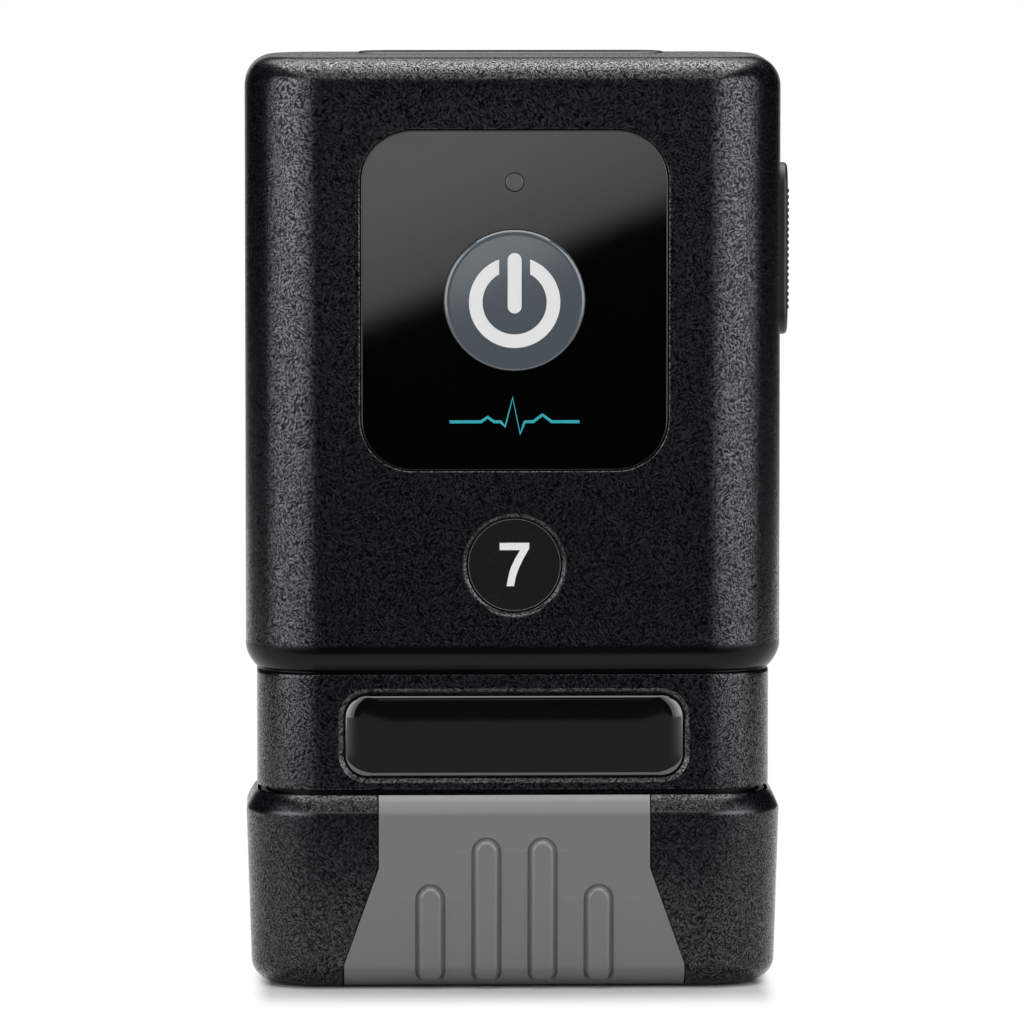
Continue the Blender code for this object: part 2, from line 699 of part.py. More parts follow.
def make_front_shell():
    shell = new_object("front_shell", [body_skin()])
    cut(shell, helper("front_hollow", [body_hollow()]))
    posts = board_posts(
        FRONT_WALL - ROOT_OVERLAP,
        MAIN_BOARD_FRONT - SEAT_GAP,
        MAIN_BOARD_BACK + POST_PIN_PROUD,
        front_post_heights(),
    )
    bosses = helper("front_bosses", screw_bosses(FRONT_FACE, REAR_SEAM + OVERRUN) + posts)
    keep(bosses, helper("front_boss_liner", [body_skin(BOSS_LINER_INSET)]))
    join(shell, bosses)
    keep(shell, seam_slab("front_half", FRONT_FACE - OVERRUN, FRONT_SEAM, SPIGOT_BOTTOM - OVERRUN))
    cut(shell, gasket_groove(), seal_groove(), window_pocket(), key_hole(), light_pipe_hole())
    cut(shell, label_dish(), badge_recess(), side_key_slot(), insert_holes())
    finish(shell, BLACK_ABS, 0.55)


def screw_holes():
    """Counterbored holes through the rear shell's bosses."""
    head = SCREW_HEAD_RADIUS + RUNNING_GAP
    shank = SCREW_RADIUS + RUNNING_GAP
    seat = SCREW_HEAD_SEAT - SEAT_GAP
    profile = [(REAR_SEAM - OVERRUN, shank), (seat, shank), (seat, head), (REAR_FACE + OVERRUN, head)]
    return helper("screw_holes", [turned("y", place, profile, MEDIUM_ROUND) for place in SCREW_PLACES])


def socket_hole():
    width, depth = SOCKET_WIDTH + 2 * SEAT_GAP, SOCKET_DEPTH + 2 * SEAT_GAP
    low, high = CAVITY_TOP - OVERRUN, BODY_HEIGHT + OVERRUN
    return helper("socket_hole", [block("z", width, depth, depth / 2, low, high, (0, SOCKET_Y))])


def make_rear_shell():
    shell = new_object("rear_shell", [body_skin()])
    cut(shell, helper("rear_hollow", [body_hollow()]))
    posts = board_posts(
        REAR_WALL + ROOT_OVERLAP,
        ECG_BOARD_BACK + SEAT_GAP,
        ECG_BOARD_FRONT - POST_PIN_PROUD,
        rear_post_heights(),
    )
    bosses = helper("rear_bosses", screw_bosses(FRONT_SEAM - OVERRUN, REAR_FACE) + posts)
    keep(bosses, helper("rear_boss_liner", [body_skin(BOSS_LINER_INSET)]))
    join(shell, bosses)
    half = seam_slab("rear_half", REAR_SEAM, REAR_FACE + OVERRUN, SPIGOT_BOTTOM - OVERRUN)
    half_with_posts = helper("rear_post_room", posts)
    join(half, half_with_posts)
    keep(shell, half)
    cut(shell, bpy.data.objects["gasket_groove"], bpy.data.objects["seal_groove"])
    cut(shell, screw_holes(), socket_hole())
    finish(shell, BLACK_ABS, 0.55)


def make_screws():
    """Four case screws, each with the brass insert that it turns into."""
    for number, place in enumerate(SCREW_PLACES, start=1):
        head_top = SCREW_HEAD_SEAT + SCREW_HEAD_THICKNESS
        shape = [
            (SCREW_TIP, SCREW_RADIUS),
            (SCREW_HEAD_SEAT, SCREW_RADIUS),
            (SCREW_HEAD_SEAT, SCREW_HEAD_RADIUS),
            (head_top, SCREW_HEAD_RADIUS),
        ]
        screw = new_object(f"case_screw_{number}", [turned("y", place, shape, SMALL_ROUND)])
        floor = head_top - SCREW_SOCKET_DEPTH
        drive = [(floor, SCREW_SOCKET_RADIUS), (head_top + OVERRUN, SCREW_SOCKET_RADIUS)]
        cut(screw, helper(f"screw_drive_{number}", [turned("y", place, drive, 6)]))
        finish(screw, STEEL, 0.35, 1.0)
        bore = SCREW_RADIUS + SEAT_GAP
        insert = [
            (INSERT_FRONT, INSERT_RADIUS),
            (INSERT_BACK, INSERT_RADIUS),
            (INSERT_BACK, bore),
            (INSERT_FRONT, bore),
        ]
        sleeve = new_object(f"screw_insert_{number}", [turned("y", place, insert, SMALL_ROUND)], looped=True)
        finish(sleeve, BRASS, 0.3, 1.0)


def make_spigot_seal():
    """A ring of oval section, squeezed between the spigot and the cap."""
    middle_z = SPIGOT_BOTTOM + SEAL_HEIGHT_ABOVE_SPIGOT + SEAL_HEIGHT / 2
    middle_inset = CAP_INNER_INSET + SEAL_SQUEEZE_GAP + SEAL_DEPTH / 2
    section = circle(0.5, 8)
    rings = [body_ring(middle_z + v * SEAL_HEIGHT, middle_inset + u * SEAL_DEPTH) for u, v in section]
    seal = new_object("spigot_seal", [rings], looped=True)
    finish(seal, RUBBER, 0.7)


# Front details


def make_window():
    window = new_object(
        "window_lens",
        [block("y", WINDOW_WIDTH, WINDOW_HEIGHT, WINDOW_RADIUS, WINDOW_FACE, WINDOW_BACK, (0, KEY_Z))],
    )
    cut(window, bpy.data.objects["key_hole"], bpy.data.objects["light_pipe_hole"])
    finish(window, GLOSS_BLACK, 0.05)


def make_power_key():
    """A round key with a soft edge, held behind the front wall by its flange."""
    flange = KEY_RADIUS + KEY_FLANGE_WIDTH
    profile = [(KEY_BACK, flange), (KEY_FLANGE_FRONT, flange), (KEY_FLANGE_FRONT, KEY_RADIUS)]
    for step in range(FILLET_STEPS + 1):
        angle = step / FILLET_STEPS * math.pi / 2
        station = KEY_FACE + KEY_EDGE_ROUND * (1 - math.sin(angle))
        profile.append((station, KEY_RADIUS - KEY_EDGE_ROUND * (1 - math.cos(angle))))
    key = new_object("power_key", [turned("y", (0, KEY_Z), profile, LARGE_ROUND)])
    finish(key, KEY_GREY, 0.35)
    hang_on_axis("power_key_axis", (0, KEY_FACE, KEY_Z), key)


def make_power_switch():
    back = MAIN_BOARD_FRONT - SEAT_GAP
    front = back - SWITCH_HEIGHT
    floor = back - PLUNGER_FLOOR
    tip = KEY_BACK + CONTACT_GAP
    end = floor - KEY_TRAVEL - SEAT_GAP
    centre = (0, KEY_Z)
    case = block("y", SWITCH_SIZE, SWITCH_SIZE, CHIP_CORNER, front, back, centre, SMALL_CORNER_STEPS)
    body = new_object("power_switch_body", [case])
    bore = [(front - OVERRUN, PLUNGER_RADIUS + SEAT_GAP), (floor, PLUNGER_RADIUS + SEAT_GAP)]
    cut(body, helper("power_switch_bore", [turned("y", centre, bore, SMALL_ROUND)]))
    finish(body, BLACK_ABS, 0.5)
    shape = [(tip, PLUNGER_RADIUS), (end, PLUNGER_RADIUS)]
    plunger = new_object("power_switch_plunger", [turned("y", centre, shape, SMALL_ROUND)])
    finish(plunger, STEEL, 0.4, 1.0)
    hang_on_axis("power_plunger_axis", (0, tip, KEY_Z), plunger)


def make_light_pipe():
    """A clear rod from the LED to the window, with a collar behind the front wall."""
    led_front = MAIN_BOARD_FRONT - SEAT_GAP - LED_HEIGHT
    collar = LIGHT_PIPE_RADIUS + LIGHT_PIPE_COLLAR
    collar_back = KEY_FLANGE_FRONT + KEY_FLANGE_THICKNESS
    profile = [
        (WINDOW_FACE, LIGHT_PIPE_RADIUS),
        (KEY_FLANGE_FRONT, LIGHT_PIPE_RADIUS),
        (KEY_FLANGE_FRONT, collar),
        (collar_back, collar),
        (collar_back, LIGHT_PIPE_RADIUS),
        (led_front - CONTACT_GAP, LIGHT_PIPE_RADIUS),
    ]
    pipe = new_object("light_pipe", [turned("y", (0, LED_Z), profile, SMALL_ROUND)])
    finish(pipe, CLEAR, 0.2)
    led_back = led_front + LED_HEIGHT
    lamp = block("y", LED_SIZE, LED_SIZE, CHIP_CORNER, led_front, led_back, (0, LED_Z), SMALL_CORNER_STEPS)
    led = new_object("indicator_led", [lamp])
    finish(led, CLEAR, 0.3)


def make_number_disc():
    shape = [(DISC_FACE, DISC_RADIUS), (DISC_FACE + DISC_THICKNESS, DISC_RADIUS)]
    disc = new_object("number_disc", [turned("y", (0, DISC_Z), shape, LARGE_ROUND)])
    finish(disc, BLACK_ABS, 0.4)


def make_badge():
    """A plate with a domed face, flatter in the middle."""
    back = NECK_FACE + BADGE_RECESS - SEAT_GAP
    edge = back - BADGE_EDGE_THICKNESS
    rings = [ring("y", rounded_rectangle(BADGE_WIDTH, BADGE_HEIGHT, BADGE_RADIUS), back, (0, BADGE_Z))]
    for step in range(FILLET_STEPS + 1):
        angle = step / FILLET_STEPS * math.pi / 2
        inset = BADGE_DOME_INSET * (1 - math.cos(angle))
        outline = rounded_rectangle(BADGE_WIDTH - 2 * inset, BADGE_HEIGHT - 2 * inset, BADGE_RADIUS - inset)
        rings.append(ring("y", outline, edge - BADGE_DOME * math.sin(angle), (0, BADGE_Z)))
    badge = new_object("domed_badge", [rings])
    finish(badge, GLOSS_BLACK, 0.04)


# Side key


def make_side_key():
    """A pill-shaped key with cross ridges, a flange inside the wall and a stem to its switch."""
    centre = (SIDE_KEY_Y, SIDE_KEY_Z)
    face = BODY_WIDTH / 2 + SIDE_KEY_PROUD
    crown = face - SIDE_KEY_CROWN
    middle = (SIDE_FLANGE_OUTER + SIDE_FLANGE_INNER) / 2
    skirt = rounded_rectangle(SIDE_KEY_WIDTH, SIDE_KEY_LENGTH, SIDE_KEY_WIDTH / 2)
    rings = [ring("x", skirt, middle, centre)]
    for step in range(FILLET_STEPS + 1):
        angle = step / FILLET_STEPS * math.pi / 2
        inset = SIDE_KEY_CROWN * (1 - math.cos(angle))
        outline = rounded_rectangle(
            SIDE_KEY_WIDTH - 2 * inset, SIDE_KEY_LENGTH - 2 * inset, SIDE_KEY_WIDTH / 2 - inset
        )
        rings.append(ring("x", outline, crown + SIDE_KEY_CROWN * math.sin(angle), centre))
    key = new_object("side_key", [rings])
    length = SIDE_KEY_LENGTH + 2 * SIDE_FLANGE_LENGTH
    flange = block(
        "x", SIDE_KEY_WIDTH, length, SIDE_KEY_WIDTH / 2, SIDE_FLANGE_INNER, SIDE_FLANGE_OUTER, centre
    )
    stem = [(SIDE_STEM_END, SIDE_STEM_RADIUS), (middle, SIDE_STEM_RADIUS)]
    stem_rings = turned("x", (SIDE_SWITCH_Y, SIDE_KEY_Z), stem, SMALL_ROUND)
    join(key, helper("side_key_flange", [flange]), helper("side_key_stem", [stem_rings]))
    join(key, helper("side_key_ridges", side_key_ridges(face)))
    finish(key, BLACK_ABS, 0.45)
    hang_on_axis("side_key_axis", (face, SIDE_KEY_Y, SIDE_KEY_Z), key)


def side_key_ridges(face):
    """Cross ridges that fill the key's flat face, spaced by their pitch."""
    flat = SIDE_KEY_LENGTH - SIDE_KEY_WIDTH
    count = int(flat / SIDE_RIDGE_PITCH) + 1
    width = SIDE_KEY_WIDTH - 2 * SIDE_KEY_CROWN - 2 * SIDE_RIDGE_WIDTH
    ridges = []
    for number in range(count):
        z = SIDE_KEY_Z + (number - (count - 1) / 2) * SIDE_RIDGE_PITCH
        low, high = face - ROOT_OVERLAP, face + SIDE_RIDGE_PROUD
        half = SIDE_RIDGE_WIDTH / 2
        foot = rounded_rectangle(width, SIDE_RIDGE_WIDTH, half / 2, 1)
        crest = rounded_rectangle(width - half, half, half / 4, 1)
        centre = (SIDE_KEY_Y, z)
        levels = ((foot, low), (foot, face), (crest, high))
        ridges.append([ring("x", outline, station, centre) for outline, station in levels])
    return ridges


def make_side_switch():
    centre = (SIDE_SWITCH_Y, SIDE_KEY_Z)
    outline = rounded_rectangle(SIDE_SWITCH_DEPTH, SIDE_SWITCH_HEIGHT, CHIP_CORNER, SMALL_CORNER_STEPS)
    case = [ring("x", outline, station, centre) for station in (SIDE_SWITCH_BACK, SIDE_SWITCH_FRONT)]
    body = new_object("side_switch_body", [case])
    radius = SIDE_PLUNGER_RADIUS + SEAT_GAP
    bore = [(SIDE_SWITCH_FRONT - SIDE_SWITCH_BORE, radius), (SIDE_SWITCH_FRONT + OVERRUN, radius)]
    cut(body, helper("side_switch_bore", [turned("x", centre, bore, SMALL_ROUND)]))
    finish(body, BLACK_ABS, 0.5)
    shape = [(SIDE_PLUNGER_BACK, SIDE_PLUNGER_RADIUS), (SIDE_PLUNGER_TIP, SIDE_PLUNGER_RADIUS)]
    plunger = new_object("side_switch_plunger", [turned("x", centre, shape, SMALL_ROUND)])
    finish(plunger, STEEL, 0.4, 1.0)
    hang_on_axis("side_plunger_axis", (SIDE_PLUNGER_TIP, SIDE_SWITCH_Y, SIDE_KEY_Z), plunger)


# Boards


def board(name, front, back, post_heights):
    width, middle = 2 * BOARD_HALF_WIDTH, (0, BOARD_MIDDLE)
    sheet = block("y", width, BOARD_HEIGHT, BOARD_CORNER, front, back, middle, SMALL_CORNER_STEPS)
    plate = new_object(name, [sheet])
    radius = POST_PIN_RADIUS + SEAT_GAP
    profile = [(front - OVERRUN, radius), (back + OVERRUN, radius)]
    places = [(side * POST_X, z) for z in post_heights for side in (-1, 1)]
    cut(plate, helper(f"{name}_holes", [turned("y", place, profile, SMALL_ROUND) for place in places]))
    finish(plate, BOARD_GREEN, 0.4)


def on_front(name, size, corner, centre):
    """A block of a width, height and depth that sits on the front of the main board."""
    width, height, depth = size
    back = MAIN_BOARD_FRONT - SEAT_GAP
    case = block("y", width, height, corner, back - depth, back, centre, SMALL_CORNER_STEPS)
    return new_object(name, [case])


def make_boards():
    board("main_board", MAIN_BOARD_FRONT, MAIN_BOARD_BACK, front_post_heights())
    board("ecg_board", ECG_BOARD_FRONT, ECG_BOARD_BACK, rear_post_heights())
    chip = (PROCESSOR_X, KEY_Z)
    size = (PROCESSOR_SIZE, PROCESSOR_SIZE, PROCESSOR_THICKNESS)
    finish(on_front("processor_chip", size, CHIP_CORNER, chip), BLACK_ABS, 0.4)
    can = (RADIO_CAN_X, KEY_Z)
    size = (RADIO_CAN_WIDTH, RADIO_CAN_HEIGHT, RADIO_CAN_DEPTH)
    finish(on_front("radio_shield_can", size, CAN_CORNER, can), STEEL, 0.3, 1.0)
    antenna = (ANTENNA_X, BOARD_TOP - ANTENNA_EDGE)
    size = (ANTENNA_LENGTH, ANTENNA_WIDTH, ANTENNA_THICKNESS)
    finish(on_front("chip_antenna", size, CHIP_CORNER, antenna), CLEAR, 0.4)


def make_sounder():
    front = MAIN_BOARD_BACK + SEAT_GAP
    back = front + SOUNDER_DEPTH
    inner = back - SOUNDER_PORT_DEPTH
    profile = [
        (front, SOUNDER_RADIUS),
        (back, SOUNDER_RADIUS),
        (back, SOUNDER_PORT_RADIUS),
        (inner, SOUNDER_PORT_RADIUS),
    ]
    centre = (SOUNDER_X, KEY_Z - SOUNDER_BELOW_KEY)
    sounder = new_object("sounder", [turned("y", centre, profile, MEDIUM_ROUND)])
    finish(sounder, BLACK_ABS, 0.5)


def make_board_header():
    front, back = MAIN_BOARD_BACK + SEAT_GAP, ECG_BOARD_FRONT - SEAT_GAP
    centre = (0, BOARD_TOP - HEADER_BELOW_BOARD_TOP)
    stack = block("y", HEADER_LENGTH, HEADER_WIDTH, CHIP_CORNER, front, back, centre, SMALL_CORNER_STEPS)
    header = new_object("board_header", [stack])
    finish(header, BLACK_ABS, 0.5)


def make_ecg_shield():
    front = ECG_BOARD_BACK + SEAT_GAP
    back = front + SHIELD_DEPTH
    centre = (0, KEY_Z - SHIELD_BELOW_KEY)
    cover = block("y", SHIELD_WIDTH, SHIELD_HEIGHT, CAN_CORNER, front, back, centre, SMALL_CORNER_STEPS)
    can = new_object("ecg_shield_can", [cover])
    finish(can, STEEL, 0.3, 1.0)


# Lead socket


def pin_places():
    middle = (PIN_COUNT - 1) / 2
    return [((number - middle) * PIN_PITCH, SOCKET_Y) for number in range(PIN_COUNT)]


def make_lead_socket():
    """A deep oblong cup with a flange under the top wall and a row of holes in its floor."""
    centre = (0, SOCKET_Y)
    wide = rounded_rectangle(
        SOCKET_WIDTH + 2 * SOCKET_FLANGE, SOCKET_DEPTH + 2 * SOCKET_FLANGE, SOCKET_DEPTH / 2 + SOCKET_FLANGE
    )
    slim = rounded_rectangle(SOCKET_WIDTH, SOCKET_DEPTH, SOCKET_DEPTH / 2)
    rings = [
        ring("z", wide, SOCKET_BOTTOM, centre),
        ring("z", wide, SOCKET_SHOULDER, centre),
        ring("z", slim, SOCKET_SHOULDER, centre),
        ring("z", slim, SOCKET_TOP, centre),
    ]
    socket = new_object("lead_socket_block", [rings])
    depth = SOCKET_DEPTH - 2 * SOCKET_FACE_WALL
    width = SOCKET_WIDTH - 2 * SOCKET_SIDE_WALL
    mouth = block("z", width, depth, depth / 2, SOCKET_INNER_FLOOR, SOCKET_TOP + OVERRUN, centre)
    radius = PIN_RADIUS + PIN_HOLE_GAP
    profile = [(SOCKET_BOTTOM - OVERRUN, radius), (SOCKET_INNER_FLOOR + OVERRUN, radius)]
    holes = [turned("z", place, profile, SMALL_ROUND) for place in pin_places()]
    cut(socket, helper("socket_mouth", [mouth]), helper("socket_pin_holes", holes))
    finish(socket, BLACK_ABS, 0.4)


def make_lead_pins():
    tip = SOCKET_INNER_FLOOR + PIN_HEIGHT
    taper = PIN_RADIUS / 2
    profile = [
        (SOCKET_BOTTOM - PIN_TAIL, PIN_RADIUS),
        (tip - taper, PIN_RADIUS),
        (tip, PIN_RADIUS - taper),
    ]
    for number, place in enumerate(pin_places(), start=1):
        pin = new_object(f"lead_pin_{number}", [turned("z", place, profile, SMALL_ROUND)])
        finish(pin, GOLD, 0.25, 1.0)


# Cells and contacts


def make_battery_tray():
    """A channel over the upper ends of the cells, open below and towards the screw bosses."""
    width = 2 * (BOSS_X - BOSS_RADIUS - TRAY_TO_BOSS)
    inner_depth = 2 * (CELL_RADIUS + CELL_CLEARANCE)
    depth = inner_depth + 2 * TRAY_WALL
    centre = (0, CELL_Y)
    outside = block("z", width, depth, TRAY_CORNER, TRAY_BOTTOM, TRAY_UPPER_FACE, centre, SMALL_CORNER_STEPS)
    below = TRAY_BOTTOM - OVERRUN
    past = width + 2 * OVERRUN
    inside = block("z", past, inner_depth, TRAY_CORNER / 2, below, TRAY_CEILING, centre, SMALL_CORNER_STEPS)
    tray = new_object("battery_tray", [outside])
    cut(tray, helper("battery_tray_room", [inside]))
    finish(tray, BLACK_ABS, 0.6)


def make_cells():
    """Two cells side by side, the left one nub up and the right one nub down."""
    body_length = CELL_LENGTH - CELL_NUB_HEIGHT
    for number, (x, nub_end, towards) in enumerate(
        ((-CELL_PITCH / 2, HIGH_CELL_TOP, -1), (CELL_PITCH / 2, LOW_CELL_BOTTOM, 1)), start=1
    ):
        shoulder = nub_end + towards * CELL_NUB_HEIGHT
        flat_end = shoulder + towards * body_length
        profile = [
            (nub_end, CELL_NUB_RADIUS),
            (shoulder, CELL_NUB_RADIUS),
            (shoulder, CELL_RADIUS - CELL_EDGE),
            (shoulder + towards * CELL_EDGE, CELL_RADIUS),
            (flat_end - towards * CELL_EDGE, CELL_RADIUS),
            (flat_end, CELL_RADIUS - CELL_EDGE),
        ]
        cell = new_object(f"battery_cell_{number}", [turned("z", (x, CELL_Y), profile, LARGE_ROUND)])
        finish(cell, CELL_JACKET, 0.35, 0.4)


def contact_plate(name, low):
    high, middle = low + CONTACT_THICKNESS, (0, CELL_Y)
    strip = block("z", CONTACT_WIDTH, CONTACT_DEPTH, CONTACT_CORNER, low, high, middle, SMALL_CORNER_STEPS)
    plate = new_object(name, [strip])
    return finish(plate, STEEL, 0.25, 1.0)


def spring_points(x, foot, towards):
    """A cone of curls from a wide foot to a narrow tip, with a short straight tail at each end."""
    climb = SPRING_HEIGHT - 2 * SPRING_WIRE
    count = SPRING_CURLS * CURL_POINTS
    curls = []
    for step in range(count + 1):
        share = step / count
        turn = 2 * math.pi * SPRING_CURLS * share
        radius = SPRING_BASE_RADIUS + (SPRING_TIP_RADIUS - SPRING_BASE_RADIUS) * share
        z = foot + towards * (SPRING_WIRE + climb * share)
        curls.append(Vector((x + radius * math.cos(turn), CELL_Y + radius * math.sin(turn), z)))
    first = curls[0] - Vector((0, 0, towards * SPRING_WIRE))
    last = curls[-1] + Vector((0, 0, towards * SPRING_WIRE))
    return [first] + curls + [last]


def least_self_gap(points):
    """The smallest clear distance between turns, measured on the wire's points."""
    least = math.inf
    for low, near in enumerate(points):
        for far in points[low + CURL_POINTS // 2 :]:
            least = min(least, (near - far).length - SPRING_WIRE)
    return least


def coil_spring(name, x, foot, towards):
    """One unbroken wire, standing on its foot and pointing up or down."""
    points = spring_points(x, foot, towards)
    curve = bpy.data.curves.new(name, "CURVE")
    curve.dimensions = "3D"
    curve.bevel_depth = SPRING_WIRE / 2
    curve.bevel_resolution = 1
    curve.use_fill_caps = True
    spline = curve.splines.new("POLY")
    spline.points.add(len(points) - 1)
    for place, point in zip(spline.points, points):
        place.co = (*point, 1.0)
    spring = bpy.data.objects.new(name, curve)
    bpy.context.scene.collection.objects.link(spring)
    finish(spring, STEEL, 0.25, 1.0)
    gap = least_self_gap(points) * MILLIMETRES_PER_METRE
    print(f"{name}: least gap between turns {gap:.2f} mm")
    return spring


def make_tray_contacts():
    contact_plate("tray_contact_plate", TRAY_CONTACT_BOTTOM)
    coil_spring("tray_contact_spring", CELL_PITCH / 2, TRAY_CONTACT_BOTTOM - SEAT_GAP, -1)


def make_cap_contacts():
    plate = contact_plate("cap_contact_plate", CAP_CONTACT_BOTTOM)
    spring = coil_spring("cap_contact_spring", -CELL_PITCH / 2, CAP_CONTACT_TOP + SEAT_GAP, 1)
    return plate, spring


# End cap and grip band


def band_outline(margin):
    """The band as seen from the front: straight sides, then a splay down to a wide foot."""
    top, foot = BAND_TOP_HALF_WIDTH + margin, BAND_BASE_HALF_WIDTH + margin
    right = [
        (foot, -OVERRUN),
        (foot, BAND_FOOT_HEIGHT),
        (top, BAND_BEND_HEIGHT),
        (top, CAP_HEIGHT + 2 * OVERRUN),
    ]
    left = [(-x, z) for x, z in reversed(right)]
    return right + left


def band_prism(name, margin):
    outline = band_outline(margin)
    front, back = FRONT_FACE - OVERRUN, REAR_FACE + OVERRUN
    return helper(name, [[ring("y", outline, front), ring("y", outline, back)]])


def rib_slots():
    """Upright round-ended slots through the cap, the two inner ones taller."""
    front, back = FRONT_FACE - OVERRUN, REAR_FACE + OVERRUN
    slots = []
    for number in range(4):
        height = TALL_RIB_HEIGHT if number in (1, 2) else SHORT_RIB_HEIGHT
        centre = ((number - 1.5) * RIB_PITCH, RIB_FOOT_HEIGHT + height / 2)
        slots.append(block("y", RIB_WIDTH, height, RIB_WIDTH / 2, front, back, centre))
    return helper("rib_slots", slots)


def make_grip_band():
    """The cap's outer skin inside the band's outline, with ribs standing out of it front and back."""
    band = new_object("grip_band", [cap_skin()])
    keep(band, band_prism("band_outline", 0.0))
    ribs = rib_slots()
    raised = [body_ring(z, inset) for z, inset in raised_sections()]
    keep(ribs, helper("raised_skin", [raised]))
    join(band, ribs)
    core = cap_skin(BAND_THICKNESS, BAND_RIM_THICKNESS, OVERRUN)
    cut(band, helper("band_core", [core]))
    finish(band, GRIP_GREY, 0.6)
    return band


def raised_sections():
    """The cap's upright skin moved out to the crest of the ribs, standing on the same base."""
    bottom_inset = CAP_BASE_INSET + CAP_FILLET - RIB_PROUD
    sections = [(0.0, bottom_inset)]
    for z, inset in ((CAP_FILLET, CAP_BASE_INSET), (CAP_HEIGHT - CAP_ROUND_HEIGHT, CAP_TOP_INSET)):
        sections.append((z, inset - RIB_PROUD))
    return sections


def make_end_cap():
    """A tapered cup with a shallow recess for the grip band, front, under and back."""
    cap = new_object("end_cap", [cap_skin()])
    room = [
        body_ring(CAP_FLOOR, CAP_INNER_INSET),
        body_ring(CAP_HEIGHT + OVERRUN, CAP_INNER_INSET),
    ]
    recess = band_prism("band_recess", BAND_GAP)
    kept = cap_skin(BAND_THICKNESS + BAND_GAP, BAND_RIM_THICKNESS + BAND_GAP, 2 * OVERRUN)
    cut(recess, helper("band_recess_core", [kept]))
    cut(cap, recess, helper("cap_room", [room]))
    finish(cap, BLACK_ABS, 0.55)
    return cap


def main():
    clear_scene()
    make_front_shell()
    make_rear_shell()
    make_shell_gasket()
    make_screws()
    make_spigot_seal()
    make_window()
    make_power_key()
    make_power_switch()
    make_light_pipe()
    make_number_disc()
    make_badge()
    make_side_key()
    make_side_switch()
    make_boards()
    make_sounder()
    make_board_header()
    make_ecg_shield()
    make_lead_socket()
    make_lead_pins()
    make_battery_tray()
    make_cells()
    make_tray_contacts()
    hang_on_axis("end_cap_axis", (0, 0, 0), make_end_cap(), make_grip_band(), *make_cap_contacts())


main()
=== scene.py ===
"""Looks of the cardiac telemetry transmitter: finer outer pieces, finishes, lights and camera.

The sizes below are in millimetres, in the frame of the solids: X right, Y back, Z up from the base.
"""

import math

import bmesh
import bpy
from mathutils import Matrix, Vector


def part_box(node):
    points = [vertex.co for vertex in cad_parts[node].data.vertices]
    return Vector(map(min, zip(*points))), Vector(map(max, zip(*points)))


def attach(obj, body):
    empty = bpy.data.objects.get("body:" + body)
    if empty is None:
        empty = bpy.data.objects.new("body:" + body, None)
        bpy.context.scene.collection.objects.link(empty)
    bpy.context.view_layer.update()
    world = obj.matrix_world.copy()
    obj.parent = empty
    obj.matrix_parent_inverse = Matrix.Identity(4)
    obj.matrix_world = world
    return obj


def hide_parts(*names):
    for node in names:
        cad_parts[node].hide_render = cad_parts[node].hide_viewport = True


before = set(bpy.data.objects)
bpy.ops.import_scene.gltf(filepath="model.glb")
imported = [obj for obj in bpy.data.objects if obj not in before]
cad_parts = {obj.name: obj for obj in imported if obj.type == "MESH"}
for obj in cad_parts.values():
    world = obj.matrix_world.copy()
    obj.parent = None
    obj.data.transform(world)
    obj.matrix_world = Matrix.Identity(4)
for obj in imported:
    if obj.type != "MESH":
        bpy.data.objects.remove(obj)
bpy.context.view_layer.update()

MM = 0.001

# Housing. SUPPORT is how far an extra outline stands from a rounded edge, so that flat faces shade flat.
HALF_WIDTH = 29.0
HALF_DEPTH = 12.5
TOP = 100.5
PLAN_RADIUS = 8.2
TOP_FILLET = 3.2
WALL = 2.0
SUPPORT = 0.35
CEILING = 98.3
BAY_TOP = 38.5
SEAM_Y = 2.0
SEAM_GAP = 0.15
NECK_BOTTOM = 21.45
NECK_TOP = 34.0
NECK_INSET = 1.2
NECK_EDGE = 0.1
SHOULDER_TOP = 36.9
SPIGOT_BOTTOM = 9.0
SPIGOT_INSET = 2.45
SPIGOT_BEVEL = 0.3
SEAL_GROOVE = (13.7, 15.1)
SEAL_DEPTH = 0.8
BAY_INSET = 3.85
# The crease under the shoulder, as steps inwards and upwards from the top of the neck
CREASE = ((0.0, -0.4), (0.0, -0.13), (0.06, -0.03), (0.3, 0.11), (0.3, 0.25), (0.0, 0.35))

# End cap and grip band
CAP_TOP = 20.85
CAP_RIM_INSET = 1.25
# The chamfer below the cap's rim, as heights and insets
CAP_RIM = ((18.6, 0.03), (18.85, 0.042), (18.98, 0.075), (19.1, 0.125), (19.6, 0.36), (20.1, 0.63))
CAP_RIM += ((20.5, 0.9),)
CAP_BASE_INSET = 0.55
CAP_FILLET = 2.4
CAP_BULGE = 0.015
CAP_WALL_INSET = 2.2
CAP_FLOOR = 2.2
BAND_TOP_HALF = 14.65
BAND_BASE_HALF = 18.4
BAND_BEND = 13.0
BAND_FOOT = 2.5
BAND_GAP = 0.15
BAND_DEEP = 0.85
RIB_PITCH = 6.07
RIB_HALF = 1.25
RIB_PROUD = 0.44
RIB_EDGE = 0.5
RIB_FOOT = 0.8
RIB_FOOT_RADIUS = 0.8
RIB_TOPS = (10.9, 16.0, 16.0, 10.9)
RIB_STEPS = (1.65, 1.58, 1.5, 1.42, 1.34, 1.25, 1.235, 1.2, 1.14, 1.06, 0.97, 0.86, 0.75, 0.6, 0.4, 0.15)
GROOVE_WIDE = 0.4
GROOVE_SHARE = 0.55

